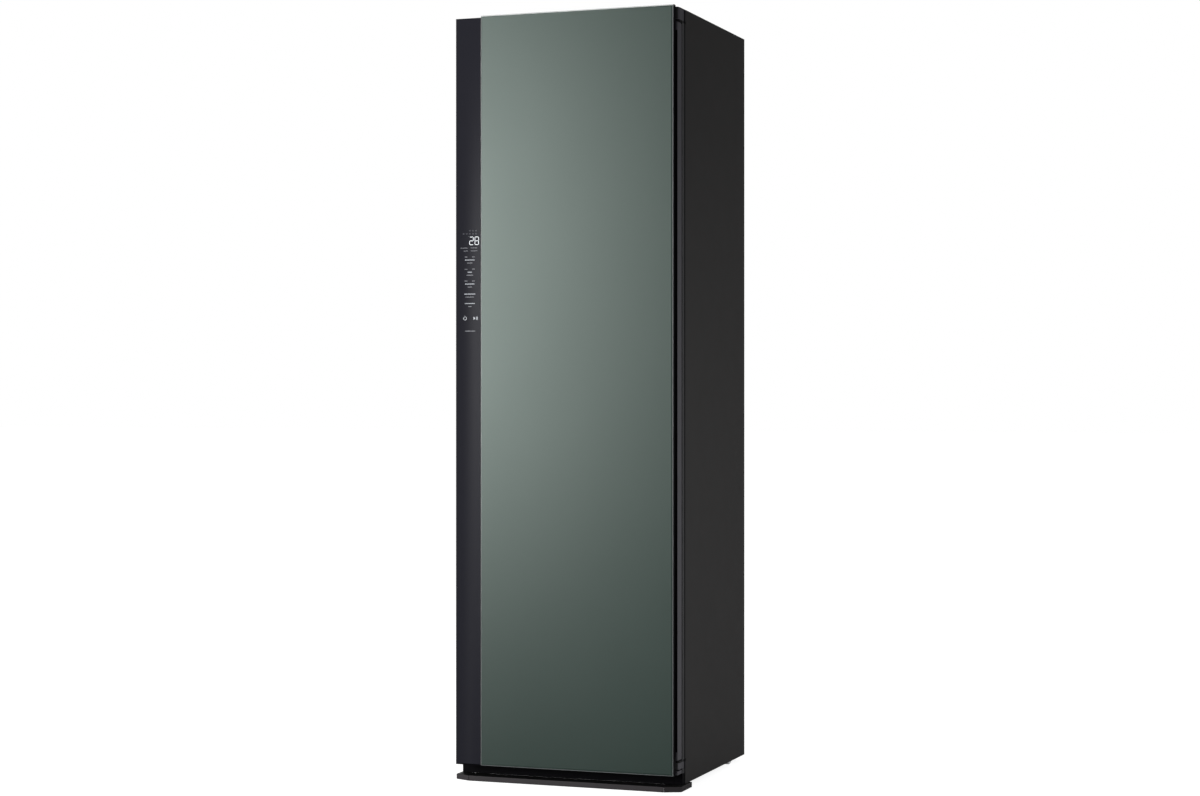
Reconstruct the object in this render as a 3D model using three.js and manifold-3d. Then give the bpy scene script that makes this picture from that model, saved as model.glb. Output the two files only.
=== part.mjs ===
// Clothes care steam cabinet: a tall closet with a glass-fronted door hung on the right.
// Millimetres. X runs across, Y from the door (-) to the back (+), Z up from the floor.
// A depth is measured back from the door's glass face.

import * as THREE from "three";
import { mergeVertices } from "three/addons/utils/BufferGeometryUtils.js";
import Module from "manifold-3d";

const wasm = await Module();
wasm.setup();

// Overall sizes
const caseWidth = 600;
const caseDepth = 596;
const productHeight = 1960;
const caseLift = 14.5;
const caseTopDrop = 2.5;
const sheet = 1.2;
const seat = 0.3;
const overrun = 3;

// The layers from the glass face back to the side panels
const faceDepth = 13.5;
const shellDepth = 33.5;
const gasketDepth = 8;
const frameDepth = 11.5;
const grooveDepth = 7.5;

// The door
const faceInset = 5.5;
const shellInset = 0.5;
const doorLift = 43.5;
const shellRise = 1.5;
const stripWidth = 69;
const stripDrop = 4.5;
const panelGap = 0.8;
const trimWidth = 4.2;
const trimHeight = 2;
const edgeTrim = 1;
const panelThickness = 4;
const bevelWidth = 3;
const bevelDepth = 1;
const stripInset = 0.6;
const faceRail = 34;
const shellWall = 1.2;
const gripReach = 17.5;
const gripLip = 13.5;
const gripSlant = 4;
const linerWall = 2.5;
const plateauRise = 5;
const plateauInset = 14;
const plateauRadius = 16;
const gasketWidth = 12;
const gasketSide = 31;
const gasketLow = 14;
const gasketHigh = 46;
const boardWidth = 46;
const boardHeight = 300;
const boardDrop = 745;
const boardThickness = 1.6;
const boardPocket = 5;

// The hinges
const hingeInset = 14;
const hingeSetback = 18.5;
const hingeNose = 13.5;
const armReach = 33;
const topArmHeight = 35.5;
const lowArmLift = 57;
const lowArmHeight = 21;
const bracketThickness = 5;
const notchGap = 3;
const pinRadius = 5;
const pinLength = 20;
const pinClearance = 0.3;
const bossWall = 16;
const coverWall = 2.2;

// The garment compartment
const tubSideRoom = 50;
const tubBackRoom = 106.2;
const tubFloor = 470;
const tubHeadroom = 160;
const tubWall = 3;
const tubRadius = 8;
const tubFlange = 10;
const openingMargin = 4;
const frameOpeningLow = 60;
const frameWall = 2.5;
const tongueInset = 3;
const shelfLedgeReach = 10;
const shelfLedgeThickness = 6;
const shelfLift = 86;

// The moving hanger drive
const hangerTravel = 15.6;
const crankRadius = 18;
const crankPinRadius = 5;
const slotPlay = 1.55;
const postWidth = 15;
const postDepth = 10;
const postSideRoom = 100;
const driveSetback = 199.8;

const halfCase = caseWidth / 2;
const halfFace = halfCase - faceInset;
const halfShell = halfCase - shellInset;
const halfTub = halfCase - tubSideRoom;
const tubWidth = halfTub * 2;
const halfOpening = halfTub + openingMargin;
const caseTop = productHeight - caseTopDrop;
const shellLift = doorLift + shellRise;
const stripTop = productHeight - stripDrop;
const stripEdge = -halfFace + stripWidth;
const shellBack = faceDepth + shellDepth;
const frameFront = shellBack + gasketDepth;
const frameBack = frameFront + frameDepth;
const sideFront = frameBack + grooveDepth;
const tubFront = frameBack + seat;
const tubBack = caseDepth - tubBackRoom;
const tubTop = productHeight - tubHeadroom;
const postSpacing = tubWidth - postSideRoom * 2;
const driveDepth = tubBack - driveSetback;
const frameOpeningTop = tubTop + tubFlange + seat * 2;
const hingeX = halfCase - hingeInset;
const hingeDepth = faceDepth + hingeSetback;
const bossBack = shellBack - linerWall - seat;
const armBack = hingeDepth + hingeNose + armReach;
const topArmLift = caseTop - topArmHeight;
const lowArmTop = lowArmLift + lowArmHeight;
const plateauDepth = shellBack + plateauRise;
const boardMiddle = productHeight - boardDrop;
const boardX = -halfFace + stripWidth / 2;

// A place measured back from the glass face, as a Y value
const back = (depth) => depth - caseDepth / 2;

const paint = (color, roughness, metalness) =>
  new THREE.MeshStandardMaterial({ color, roughness, metalness });
const finishes = {
  greenGlass: paint(0x66756f, 0.35, 0.3),
  blackGlass: paint(0x2c2b30, 0.15, 0.1),
  blackTrim: paint(0x18181a, 0.5, 0),
  doorMetal: paint(0x403f45, 0.45, 0.6),
  caseMetal: paint(0x2e2e2f, 0.55, 0.5),
  zinc: paint(0x9a9da0, 0.45, 0.9),
  steel: paint(0x8b8d90, 0.35, 1),
  liner: paint(0x4a4b50, 0.6, 0),
  tub: paint(0x55575c, 0.45, 0),
  seal: paint(0x1f1f21, 0.8, 0),
  stripPlastic: paint(0x4b484b, 0.6, 0),
  palePlastic: paint(0xb9bcc0, 0.5, 0),
  board: paint(0x1f5136, 0.6, 0),
  smoke: paint(0x7d8a92, 0.25, 0),
  aluminium: paint(0xb5b8bb, 0.4, 1),
  felt: paint(0x8b8880, 0.95, 0),
  cable: paint(0x151515, 0.7, 0),
};

// Solid from a closed three.js geometry
function solidFrom(geometry) {
  geometry.deleteAttribute("normal");
  geometry.deleteAttribute("uv");
  const merged = mergeVertices(geometry);
  const corners = merged.index.array;
  const kept = [];
  for (let i = 0; i < corners.length; i += 3) {
    const [a, b, c] = [corners[i], corners[i + 1], corners[i + 2]];
    if (a !== b && b !== c && c !== a) kept.push(a, b, c);
  }
  const mesh = new wasm.Mesh({
    numProp: 3,
    vertProperties: Float32Array.from(merged.attributes.position.array),
    triVerts: Uint32Array.from(kept),
  });
  mesh.merge();
  return new wasm.Manifold(mesh);
}

function geometryFrom(solid) {
  const mesh = solid.getMesh();
  const geometry = new THREE.BufferGeometry();
  geometry.setAttribute("position", new THREE.BufferAttribute(Float32Array.from(mesh.vertProperties), 3));
  geometry.setIndex(new THREE.BufferAttribute(Uint32Array.from(mesh.triVerts), 1));
  geometry.computeVertexNormals();
  return geometry;
}

const join = (first, ...rest) => rest.reduce((whole, next) => whole.add(next), first);
const cut = (first, ...rest) => rest.reduce((whole, next) => whole.subtract(next), first);

// A block between two limits on each axis
function block([x0, x1], [y0, y1], [z0, z1]) {
  const geometry = new THREE.BoxGeometry(x1 - x0, y1 - y0, z1 - z0);
  geometry.translate((x0 + x1) / 2, (y0 + y1) / 2, (z0 + z1) / 2);
  return solidFrom(geometry);
}

// A block whose low-Y face is drawn in on all sides
function taperedBlock([x0, x1], [y0, y1], [z0, z1], inset) {
  const geometry = new THREE.BoxGeometry(x1 - x0, y1 - y0, z1 - z0);
  const position = geometry.attributes.position;
  for (let i = 0; i < position.count; i += 1) {
    if (position.getY(i) > 0) continue;
    position.setX(i, position.getX(i) - Math.sign(position.getX(i)) * inset);
    position.setZ(i, position.getZ(i) - Math.sign(position.getZ(i)) * inset);
  }
  geometry.translate((x0 + x1) / 2, (y0 + y1) / 2, (z0 + z1) / 2);
  return solidFrom(geometry);
}

const outline = (points) => new THREE.Shape(points.map(([a, b]) => new THREE.Vector2(a, b)));

function roundedRect([a0, a1], [b0, b1], radius) {
  const shape = new THREE.Shape();
  shape.moveTo(a0 + radius, b0);
  shape.lineTo(a1 - radius, b0);
  shape.absarc(a1 - radius, b0 + radius, radius, -Math.PI / 2, 0, false);
  shape.lineTo(a1, b1 - radius);
  shape.absarc(a1 - radius, b1 - radius, radius, 0, Math.PI / 2, false);
  shape.lineTo(a0 + radius, b1);
  shape.absarc(a0 + radius, b1 - radius, radius, Math.PI / 2, Math.PI, false);
  shape.lineTo(a0, b0 + radius);
  shape.absarc(a0 + radius, b0 + radius, radius, Math.PI, Math.PI * 1.5, false);
  return shape;
}

const rect = ([a0, a1], [b0, b1]) => outline([[a0, b0], [a1, b0], [a1, b1], [a0, b1]]);

// An outline drawn in X and Y, pulled up between two heights
function raise(shape, [z0, z1], curveSegments = 6) {
  const geometry = new THREE.ExtrudeGeometry(shape, { depth: z1 - z0, bevelEnabled: false, curveSegments });
  geometry.translate(0, 0, z0);
  return solidFrom(geometry);
}

// An outline drawn in X and Z, pulled back between two Y places
function pull(shape, [y0, y1], curveSegments = 6) {
  const geometry = new THREE.ExtrudeGeometry(shape, { depth: y1 - y0, bevelEnabled: false, curveSegments });
  geometry.rotateX(Math.PI / 2);
  geometry.translate(0, y1, 0);
  return solidFrom(geometry);
}

// An outline drawn in Y and Z, pulled across between two X places
function across(shape, [x0, x1], curveSegments = 6) {
  const geometry = new THREE.ExtrudeGeometry(shape, { depth: x1 - x0, bevelEnabled: false, curveSegments });
  const turn = new THREE.Matrix4().makeBasis(
    new THREE.Vector3(0, 1, 0),
    new THREE.Vector3(0, 0, 1),
    new THREE.Vector3(1, 0, 0),
  );
  geometry.applyMatrix4(turn);
  geometry.translate(x0, 0, 0);
  return solidFrom(geometry);
}

// A round bar from one point to another
function rod(radius, from, to, sides = 20) {
  const start = new THREE.Vector3(...from);
  const run = new THREE.Vector3(...to).sub(start);
  const geometry = new THREE.CylinderGeometry(radius, radius, run.length(), sides);
  geometry.translate(0, run.length() / 2, 0);
  const turn = new THREE.Quaternion().setFromUnitVectors(new THREE.Vector3(0, 1, 0), run.normalize());
  geometry.applyQuaternion(turn);
  geometry.translate(start.x, start.y, start.z);
  return solidFrom(geometry);
}

// A profile of [radius, height] points turned about the Z axis
function turned(profile, sides = 32, at = [0, 0, 0]) {
  const points = profile.map(([radius, height]) => new THREE.Vector2(radius, height));
  const geometry = new THREE.LatheGeometry(points, sides);
  geometry.rotateX(Math.PI / 2);
  geometry.translate(...at);
  return solidFrom(geometry);
}

function piece(parent, name, solid, finish) {
  const mesh = new THREE.Mesh(geometryFrom(solid), finish);
  mesh.name = name;
  parent.add(mesh);
  return mesh;
}

// A place moved in from the outer side panel on one side of the case
const sideX = (side, inset) => side * (halfCase - inset);
const span = (a, b) => (a < b ? [a, b] : [b, a]);

// The space that a hinge arm and its rounded nose take, seen from above
function armOutline(inset) {
  const radius = hingeNose - inset;
  const shape = new THREE.Shape();
  shape.moveTo(hingeX + radius, back(armBack - inset));
  shape.lineTo(hingeX - radius, back(armBack - inset));
  shape.lineTo(hingeX - radius, back(hingeDepth));
  shape.absarc(hingeX, back(hingeDepth), radius, Math.PI, Math.PI * 2, false);
  return shape;
}

const topNotch = [topArmLift - notchGap, caseTop + overrun];
const lowNotch = [lowArmLift - notchGap, lowArmTop + notchGap];
const notchX = [hingeX - hingeNose - notchGap, halfCase + overrun];

// The door's front: two glass panels in a black frame
function doorFront(door) {
  const glassX = [stripEdge + panelGap, halfFace - trimWidth];
  const glassZ = [doorLift + trimHeight, productHeight - trimHeight];
  const glass = join(
    block(glassX, [back(bevelDepth), back(panelThickness)], glassZ),
    taperedBlock(glassX, [back(0), back(bevelDepth)], glassZ, bevelWidth),
  );
  piece(door, "door_glass", glass, finishes.greenGlass);

  const stripX = [-halfFace + edgeTrim, stripEdge];
  const stripZ = [doorLift + trimHeight, stripTop - edgeTrim];
  const stripBack = stripInset + panelThickness;
  const strip = join(
    block(stripX, [back(stripInset + bevelDepth), back(stripBack)], stripZ),
    taperedBlock(stripX, [back(stripInset), back(stripInset + bevelDepth)], stripZ, bevelDepth),
  );
  piece(door, "control_strip", strip, finishes.blackGlass);

  const stepX = stripEdge + panelGap / 2;
  const edge = outline([
    [-halfFace, doorLift],
    [halfFace, doorLift],
    [halfFace, productHeight],
    [stepX, productHeight],
    [stepX, stripTop],
    [-halfFace, stripTop],
  ]);
  const widen = ([low, high]) => [low - seat, high + seat];
  const railLow = shellLift + faceRail;
  const frame = cut(
    pull(edge, [back(bevelDepth), back(faceDepth - seat)]),
    block(widen(glassX), [back(0), back(panelThickness + seat)], widen(glassZ)),
    block(widen(stripX), [back(0), back(stripBack + seat)], widen(stripZ)),
    pull(
      roundedRect([stripEdge, halfFace - faceRail], [railLow, productHeight - faceRail * 2], faceRail / 2),
      [back(0), back(faceDepth)],
    ),
    block(
      [boardX - boardWidth / 2 - seat, boardX + boardWidth / 2 + seat],
      [back(faceDepth - boardPocket), back(faceDepth)],
      [boardMiddle - boardHeight / 2 - seat, boardMiddle + boardHeight / 2 + seat],
    ),
  );
  piece(door, "door_face_frame", frame, finishes.blackTrim);

  const boardFront = faceDepth - boardPocket + seat;
  const board = block(
    [boardX - boardWidth / 2, boardX + boardWidth / 2],
    [back(boardFront), back(boardFront + boardThickness)],
    [boardMiddle - boardHeight / 2, boardMiddle + boardHeight / 2],
  );
  piece(door, "display_board", board, finishes.board);
}

// The door's body: a folded shell with a finger groove down its free edge
function doorBody(door) {
  const grip = -halfShell + gripReach;
  const lipBack = faceDepth + gripLip;
  const outer = outline([
    [-halfShell, back(faceDepth)],
    [halfShell, back(faceDepth)],
    [halfShell, back(shellBack)],
    [grip, back(shellBack)],
    [grip, back(lipBack + gripSlant)],
    [-halfShell, back(lipBack)],
  ]);
  const inner = outline([
    [-halfShell + shellWall, back(faceDepth + shellWall)],
    [halfShell - shellWall, back(faceDepth + shellWall)],
    [halfShell - shellWall, back(shellBack + overrun)],
    [grip + shellWall, back(shellBack + overrun)],
    [grip + shellWall, back(lipBack + gripSlant - shellWall)],
    [-halfShell + shellWall, back(lipBack - shellWall)],
  ]);
  const bossX = [notchX[0] - shellWall, halfShell - shellWall];
  const bossY = [back(faceDepth + shellWall), back(bossBack)];
  const topBoss = block(bossX, bossY, [topNotch[0] - pinLength - bossWall, caseTop - shellWall]);
  const lowBoss = block(bossX, bossY, [shellLift + shellWall, lowNotch[1] + pinLength + bossWall]);
  const bore = pinRadius + pinClearance;
  const notch = (heights) => block(notchX, [back(0), back(shellBack + overrun)], heights);
  const hollow = raise(inner, [shellLift + shellWall, caseTop - shellWall]);
  const shell = cut(
    join(cut(raise(outer, [shellLift, caseTop]), hollow), topBoss, lowBoss),
    notch(topNotch),
    notch(lowNotch),
    rod(bore, [hingeX, back(hingeDepth), topNotch[0] - pinLength], [hingeX, back(hingeDepth), caseTop]),
    rod(bore, [hingeX, back(hingeDepth), lowArmLift], [hingeX, back(hingeDepth), lowNotch[1] + pinLength]),
  );
  piece(door, "door_shell", shell, finishes.doorMetal);

  const linerX = [grip + shellWall + seat, halfShell - shellWall - seat];
  const linerZ = [shellLift + shellWall + seat, caseTop - shellWall - seat];
  const plateau = (inset, from, to) => pull(
    roundedRect(
      [-halfTub + plateauInset + inset, halfTub - plateauInset - inset],
      [tubFloor + plateauInset + inset, tubTop - plateauInset - inset],
      plateauRadius - inset,
    ),
    [back(from), back(to)],
    4,
  );
  const liner = cut(
    join(
      block(linerX, [back(shellBack - linerWall), back(shellBack)], linerZ),
      plateau(0, shellBack - linerWall, plateauDepth),
    ),
    plateau(linerWall, shellBack - linerWall - overrun, plateauDepth - linerWall),
    notch(topNotch),
    notch(lowNotch),
  );
  piece(door, "door_liner", liner, finishes.liner);

  const sealX = [-halfShell + gasketSide, halfShell - gasketSide];
  const sealZ = [shellLift + gasketLow, caseTop - gasketHigh];
  const narrow = ([low, high], by) => [low + by, high - by];
  const ring = roundedRect(sealX, sealZ, gasketWidth * 2);
  ring.holes.push(roundedRect(narrow(sealX, gasketWidth), narrow(sealZ, gasketWidth), gasketWidth));
  const seal = pull(ring, [back(shellBack + seat), back(frameFront - seat)], 4);
  piece(door, "door_gasket", seal, finishes.seal);
}

// The two hinges: a steel bracket with a pin, and a moulded cover over its arm
function hinges(root) {
  const topPlate = [topArmLift, topArmLift + bracketThickness];
  const lowPlate = [lowArmTop - bracketThickness, lowArmTop];
  const axis = (z) => [hingeX, back(hingeDepth), z];
  const top = join(
    raise(armOutline(0), topPlate, 10),
    rod(pinRadius, axis(topNotch[0] - pinLength + notchGap), axis(topPlate[1]), 24),
  );
  piece(root, "top_hinge_bracket", top, finishes.steel);
  const low = join(
    raise(armOutline(0), lowPlate, 10),
    rod(pinRadius, axis(lowPlate[0]), axis(lowNotch[1] + pinLength - notchGap), 24),
  );
  piece(root, "bottom_hinge_bracket", low, finishes.steel);

  const topCover = cut(
    raise(armOutline(0), [topPlate[1] + seat, caseTop], 10),
    raise(armOutline(coverWall), [topPlate[1] - overrun, caseTop - coverWall], 10),
  );
  piece(root, "top_hinge_cover", topCover, finishes.doorMetal);
  const lowCover = cut(
    raise(armOutline(0), [lowArmLift, lowPlate[0] - seat], 10),
    raise(armOutline(coverWall), [lowArmLift + coverWall, lowPlate[0] + overrun], 10),
  );
  piece(root, "bottom_hinge_cover", lowCover, finishes.doorMetal);
}

// The room that both hinge arms need in the case
function armRoom() {
  const x = [hingeX - hingeNose - seat, halfCase + overrun];
  const y = [back(frameFront - overrun), back(armBack + seat)];
  return join(
    block(x, y, [topArmLift - seat, caseTop + overrun]),
    block(x, y, [lowArmLift - seat, lowArmTop + seat]),
  );
}

// The case: side panels, top, back, front frame, base pan and plinth
const sideFlange = 14;
const backSheet = 1.2;
const topSkirt = 22;
const panRise = 3.5;
const panFlange = 24;
const plinthGap = 0.8;
const coverDrop = 30;
const backSwage = 2;
const backSwageWidth = 40;
const backInset = 3;
const ventCount = 8;
const ventPitch = 23;
const ventHeight = 8;
const ventWidth = 150;
const ventLift = 150;
const ventGap = 40;
const glandHole = 9;
const glandSide = 60;
const glandZ = 90;
const sideBack = caseDepth - backSheet - seat;
const coverTop = tubFloor - coverDrop;
const glandX = halfCase - glandSide;

function casePanels(root) {
  for (const side of [-1, 1]) {
    const fold = outline([
      [sideX(side, 0), back(sideFront)],
      [sideX(side, 0), back(sideBack)],
      [sideX(side, sideFlange), back(sideBack)],
      [sideX(side, sideFlange), back(sideBack - sheet)],
      [sideX(side, sheet), back(sideBack - sheet)],
      [sideX(side, sheet), back(sideFront + sheet)],
      [sideX(side, sideFlange), back(sideFront + sheet)],
      [sideX(side, sideFlange), back(sideFront)],
    ]);
    const panel = raise(fold, [caseLift, caseTop]);
    const name = side < 0 ? "side_panel_left" : "side_panel_right";
    piece(root, name, side < 0 ? panel : cut(panel, armRoom()), finishes.caseMetal);
  }

  const topEdge = halfCase - sheet - seat;
  const topShape = outline([
    [-topEdge, caseTop],
    [-topEdge, caseTop - topSkirt],
    [-topEdge + sheet, caseTop - topSkirt],
    [-topEdge + sheet, caseTop - sheet],
    [topEdge - sheet, caseTop - sheet],
    [topEdge - sheet, caseTop - topSkirt],
    [topEdge, caseTop - topSkirt],
    [topEdge, caseTop],
  ]);
  const topY = [back(sideFront + sheet + seat), back(sideBack - sheet - seat)];
  piece(root, "top_panel", cut(pull(topShape, topY), armRoom()), finishes.caseMetal);

  // The back panel has two pressed channels for stiffness
  const swageSlope = backSwage * 2;
  const path = [-halfCase + backInset];
  const rise = [0];
  for (const middle of [-tubWidth / 4, tubWidth / 4]) {
    path.push(middle - backSwageWidth / 2 - swageSlope, middle - backSwageWidth / 2);
    path.push(middle + backSwageWidth / 2, middle + backSwageWidth / 2 + swageSlope);
    rise.push(0, backSwage, backSwage, 0);
  }
  path.push(halfCase - backInset);
  rise.push(0);
  const outerLine = path.map((x, i) => [x, back(caseDepth - rise[i])]);
  const innerLine = path.map((x, i) => [x, back(caseDepth - rise[i] - backSheet)]).reverse();
  const backSolid = raise(outline([...outerLine, ...innerLine]), [coverTop + seat, caseTop - backInset]);
  piece(root, "back_panel", backSolid, finishes.zinc);

  const coverY = [back(caseDepth - backSheet), back(caseDepth)];
  const cutY = [coverY[0] - overrun, coverY[1] + overrun];
  const slots = [];
  for (const side of [-1, 1]) {
    for (let row = 0; row < ventCount; row += 1) {
      const low = ventLift + row * ventPitch;
      slots.push(block(span(side * ventGap, side * (ventGap + ventWidth)), cutY, [low, low + ventHeight]));
    }
  }
  const cover = cut(
    block([-halfCase + backInset, halfCase - backInset], coverY, [caseLift + backInset, coverTop]),
    rod(glandHole, [glandX, cutY[0], glandZ], [glandX, cutY[1], glandZ], 24),
    ...slots,
  );
  piece(root, "machine_cover", cover, finishes.zinc);
}

const glandLength = 16;
const glandFlange = 14;
const glandBore = 4;

// The moulded gland that the mains lead leaves by
function cordGland(root) {
  const radius = glandHole - seat;
  const inner = back(caseDepth - backSheet - seat);
  const body = cut(
    join(
      rod(radius, [glandX, inner - glandLength, glandZ], [glandX, back(caseDepth), glandZ], 16),
      rod(glandFlange, [glandX, inner - glandLength / 4, glandZ], [glandX, inner, glandZ], 16),
    ),
    rod(
      glandBore,
      [glandX, inner - glandLength - overrun, glandZ],
      [glandX, back(caseDepth + overrun), glandZ],
      12,
    ),
  );
  piece(root, "cord_gland", body, finishes.cable);
}

function frameAndPlinth(root) {
  const frameZ = [doorLift, caseTop];
  const opening = [frameOpeningLow, frameOpeningTop];
  const frontRing = rect([-halfCase, halfCase], frameZ);
  frontRing.holes.push(rect([-halfOpening, halfOpening], opening));
  const tongueX = halfCase - tongueInset;
  const tongueZ = [frameZ[0] + tongueInset, frameZ[1] - tongueInset];
  const tongue = cut(
    block([-tongueX, tongueX], [back(frameBack - overrun), back(sideFront - seat)], tongueZ),
    block(
      [-tongueX + frameWall, tongueX - frameWall],
      [back(frameFront), back(sideFront + overrun)],
      [tongueZ[0] + frameWall, tongueZ[1] - frameWall],
    ),
  );
  const pocket = rect(
    [-tongueX + frameWall, tongueX - frameWall],
    [tongueZ[0] + frameWall, tongueZ[1] - frameWall],
  );
  pocket.holes.push(rect(
    [-halfOpening - frameWall, halfOpening + frameWall],
    [opening[0] - frameWall, opening[1] + frameWall],
  ));
  const frame = cut(
    join(pull(frontRing, [back(frameFront), back(frameBack)]), tongue),
    pull(pocket, [back(frameFront + frameWall), back(frameBack + overrun)]),
    armRoom(),
  );
  piece(root, "front_frame", frame, finishes.caseMetal);

  const plinthSide = halfCase - sheet;
  const plinthZ = [caseLift, doorLift - plinthGap];
  const plinth = raise(
    outline([
      [-plinthSide, back(sideFront - seat)],
      [-plinthSide, back(frameFront)],
      [plinthSide, back(frameFront)],
      [plinthSide, back(sideFront - seat)],
      [plinthSide - frameWall, back(sideFront - seat)],
      [plinthSide - frameWall, back(frameFront + frameWall)],
      [-plinthSide + frameWall, back(frameFront + frameWall)],
      [-plinthSide + frameWall, back(sideFront - seat)],
    ]),
    plinthZ,
  );
  piece(root, "plinth", plinth, finishes.blackTrim);
}

// The strip that the front of the case stands behind, with two cranked end pieces
const stripReach = 5.2;
const stripRise = 0.8;
const stripFront = 10.5;
const stripCornerX = 41.2;
const stripCornerDepth = 19.4;
const stripReturn = 83.7;
const stripWall = 2.5;
const stripInner = 24;
const stripShelf = 58;
const stripHalf = halfCase + stripReach;

function baseStrip(root) {
  const top = caseLift - seat;
  const split = stripHalf - stripCornerX;
  const front = across(
    outline([
      [back(stripFront), stripRise],
      [back(stripFront + stripWall), stripRise],
      [back(stripFront + stripWall), top - stripWall],
      [back(stripShelf), top - stripWall],
      [back(stripShelf), top],
      [back(stripFront), top],
    ]),
    [-split + seat, split - seat],
  );
  piece(root, "base_strip", front, finishes.stripPlastic);
  for (const side of [-1, 1]) {
    const corner = stripFront + stripCornerDepth;
    const end = corner + stripReturn;
    const slope = stripWall * stripCornerDepth / stripCornerX;
    const plan = (inset, shift) => [
      [side * (split + shift), back(stripFront + inset)],
      [side * (stripHalf - inset), back(corner + inset - slope)],
      [side * (stripHalf - inset), back(end + shift)],
      [side * (stripHalf - stripInner), back(end + shift)],
      [side * (stripHalf - stripInner), back(stripShelf)],
      [side * (split + shift), back(stripShelf)],
    ];
    const solid = cut(
      raise(outline(plan(0, 0)), [stripRise, top]),
      raise(outline([
        [side * (split - overrun), back(stripFront + stripWall)],
        [side * split, back(stripFront + stripWall)],
        [side * (stripHalf - stripWall), back(corner + stripWall - slope)],
        [side * (stripHalf - stripWall), back(end + overrun)],
        [side * (split - overrun), back(end + overrun)],
      ]), [0, top - stripWall]),
    );
    piece(root, side < 0 ? "base_strip_end_left" : "base_strip_end_right", solid, finishes.stripPlastic);
  }
}

// The base pan with the fork that carries each rear roller
const rollerRadius = 22;
const rollerWidth = 20;
const rollerBore = 4.4;
const axleRadius = 4;
const rollerSetback = 91;
const rollerInset = 12;
const forkWall = 3;
const forkGap = 0.6;
const footInset = 45;
const footDepth = 96;
const footPad = 18;
const footPadHeight = 8;
const studRadius = 5;
const studLength = 52;
const studPlay = 0.4;
const nutRadius = 10;
const nutHeight = 12;
const panFloor = caseLift + panRise;
const rollerDepth = caseDepth - rollerSetback;

const rollerX = (side) => sideX(side, sheet + seat + rollerInset + rollerWidth / 2);

function basePan(root) {
  const edge = halfCase - sheet - seat;
  const panY = [back(sideFront + sheet + seat), back(sideBack - sheet - seat)];
  const profile = outline([
    [-edge, panFloor],
    [edge, panFloor],
    [edge, panFloor + panFlange],
    [edge - sheet, panFloor + panFlange],
    [edge - sheet, panFloor + sheet],
    [-edge + sheet, panFloor + sheet],
    [-edge + sheet, panFloor + panFlange],
    [-edge, panFloor + panFlange],
  ]);
  let pan = pull(profile, panY);
  for (const side of [-1, 1]) {
    const x = rollerX(side);
    const half = rollerWidth / 2 + forkGap;
    const room = rollerRadius + forkWall;
    const y = back(rollerDepth);
    const box = (inset, low, high) => block(
      [x - half - forkWall + inset, x + half + forkWall - inset],
      [y - room - forkWall + inset, y + room + forkWall - inset],
      [low, high],
    );
    const housing = cut(
      box(0, panFloor, rollerRadius * 2 + forkWall * 2),
      box(forkWall, panFloor - overrun, rollerRadius * 2 + forkWall),
    );
    const axleFrom = [x - half - forkWall / 2, y, rollerRadius];
    const axleTo = [x + half + forkWall / 2, y, rollerRadius];
    pan = join(cut(pan, box(forkWall, panFloor - overrun, panFloor + sheet + overrun)), housing);
    pan = join(pan, rod(axleRadius, axleFrom, axleTo, 14));
    const footX = sideX(side, footInset);
    const footY = back(footDepth);
    pan = join(pan, rod(nutRadius, [footX, footY, panFloor], [footX, footY, panFloor + nutHeight], 6));
    pan = cut(pan, rod(studRadius + studPlay, [footX, footY, 0], [footX, footY, studLength * 2], 16));
  }
  piece(root, "base_pan", pan, finishes.zinc);
}

function rollersAndFeet(root) {
  for (const side of [-1, 1]) {
    const tread = rollerWidth / 2;
    const round = rollerWidth / 8;
    const wheel = piece(root, side < 0 ? "roller_left" : "roller_right", turned([
      [rollerBore, -tread],
      [rollerRadius - round, -tread],
      [rollerRadius, -tread + round],
      [rollerRadius, tread - round],
      [rollerRadius - round, tread],
      [rollerBore, tread],
      [rollerBore, -tread],
    ], 20), finishes.palePlastic);
    wheel.rotation.y = Math.PI / 2;
    wheel.position.set(rollerX(side), back(rollerDepth), rollerRadius);

    const foot = piece(root, side < 0 ? "levelling_foot_left" : "levelling_foot_right", turned([
      [0, 0],
      [footPad, 0],
      [footPad, footPadHeight / 2],
      [studRadius * 2, footPadHeight],
      [studRadius, footPadHeight],
      [studRadius, studLength],
      [0, studLength],
    ], 20), finishes.seal);
    foot.position.set(sideX(side, footInset), back(footDepth), 0);
  }
}

// Openings in the compartment's floor, ceiling and back
const filterSideRoom = 125;
const filterDepth = 52;
const filterPlace = 140;
const filterBody = 30;
const filterWall = 2;
const filterRim = 5;
const filterRimHeight = 2.5;
const filterBar = 2.5;
const filterSlots = 9;
const filterSlotShare = 0.55;
const kitShift = 40;
const kitGap = 40;
const aromaWidth = 70;
const floorPlay = 1;
const outletWidth = 140;
const outletDepth = 70;
const outletSetback = 48.8;
const outletSlots = 8;
const outletBarShare = 0.25;
const outletRim = 6;
const outletRimHeight = 2;
const lampWidth = 130;
const lampDepth = 26;
const lampPlace = 110;
const lampRim = 4;
const lampDrop = 3;
const nozzleSide = 100;
const nozzleLift = 90;
const nozzleBore = 3;
const nozzleRadius = 8;
const nozzleFlange = 15;
const nozzleTail = 10;
const nozzleReach = 6;
const slotEnd = 2;
const slotSide = 2;
const filterWidth = tubWidth - filterSideRoom * 2;
const outletPlace = tubBack - outletSetback;
const nozzleX = nozzleSide - halfTub;
const filterX = [-filterWidth / 2 - kitShift, filterWidth / 2 - kitShift];
const aromaX = [filterX[1] + kitGap, filterX[1] + kitGap + aromaWidth];
const postX = (side) => side * postSpacing / 2;

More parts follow.
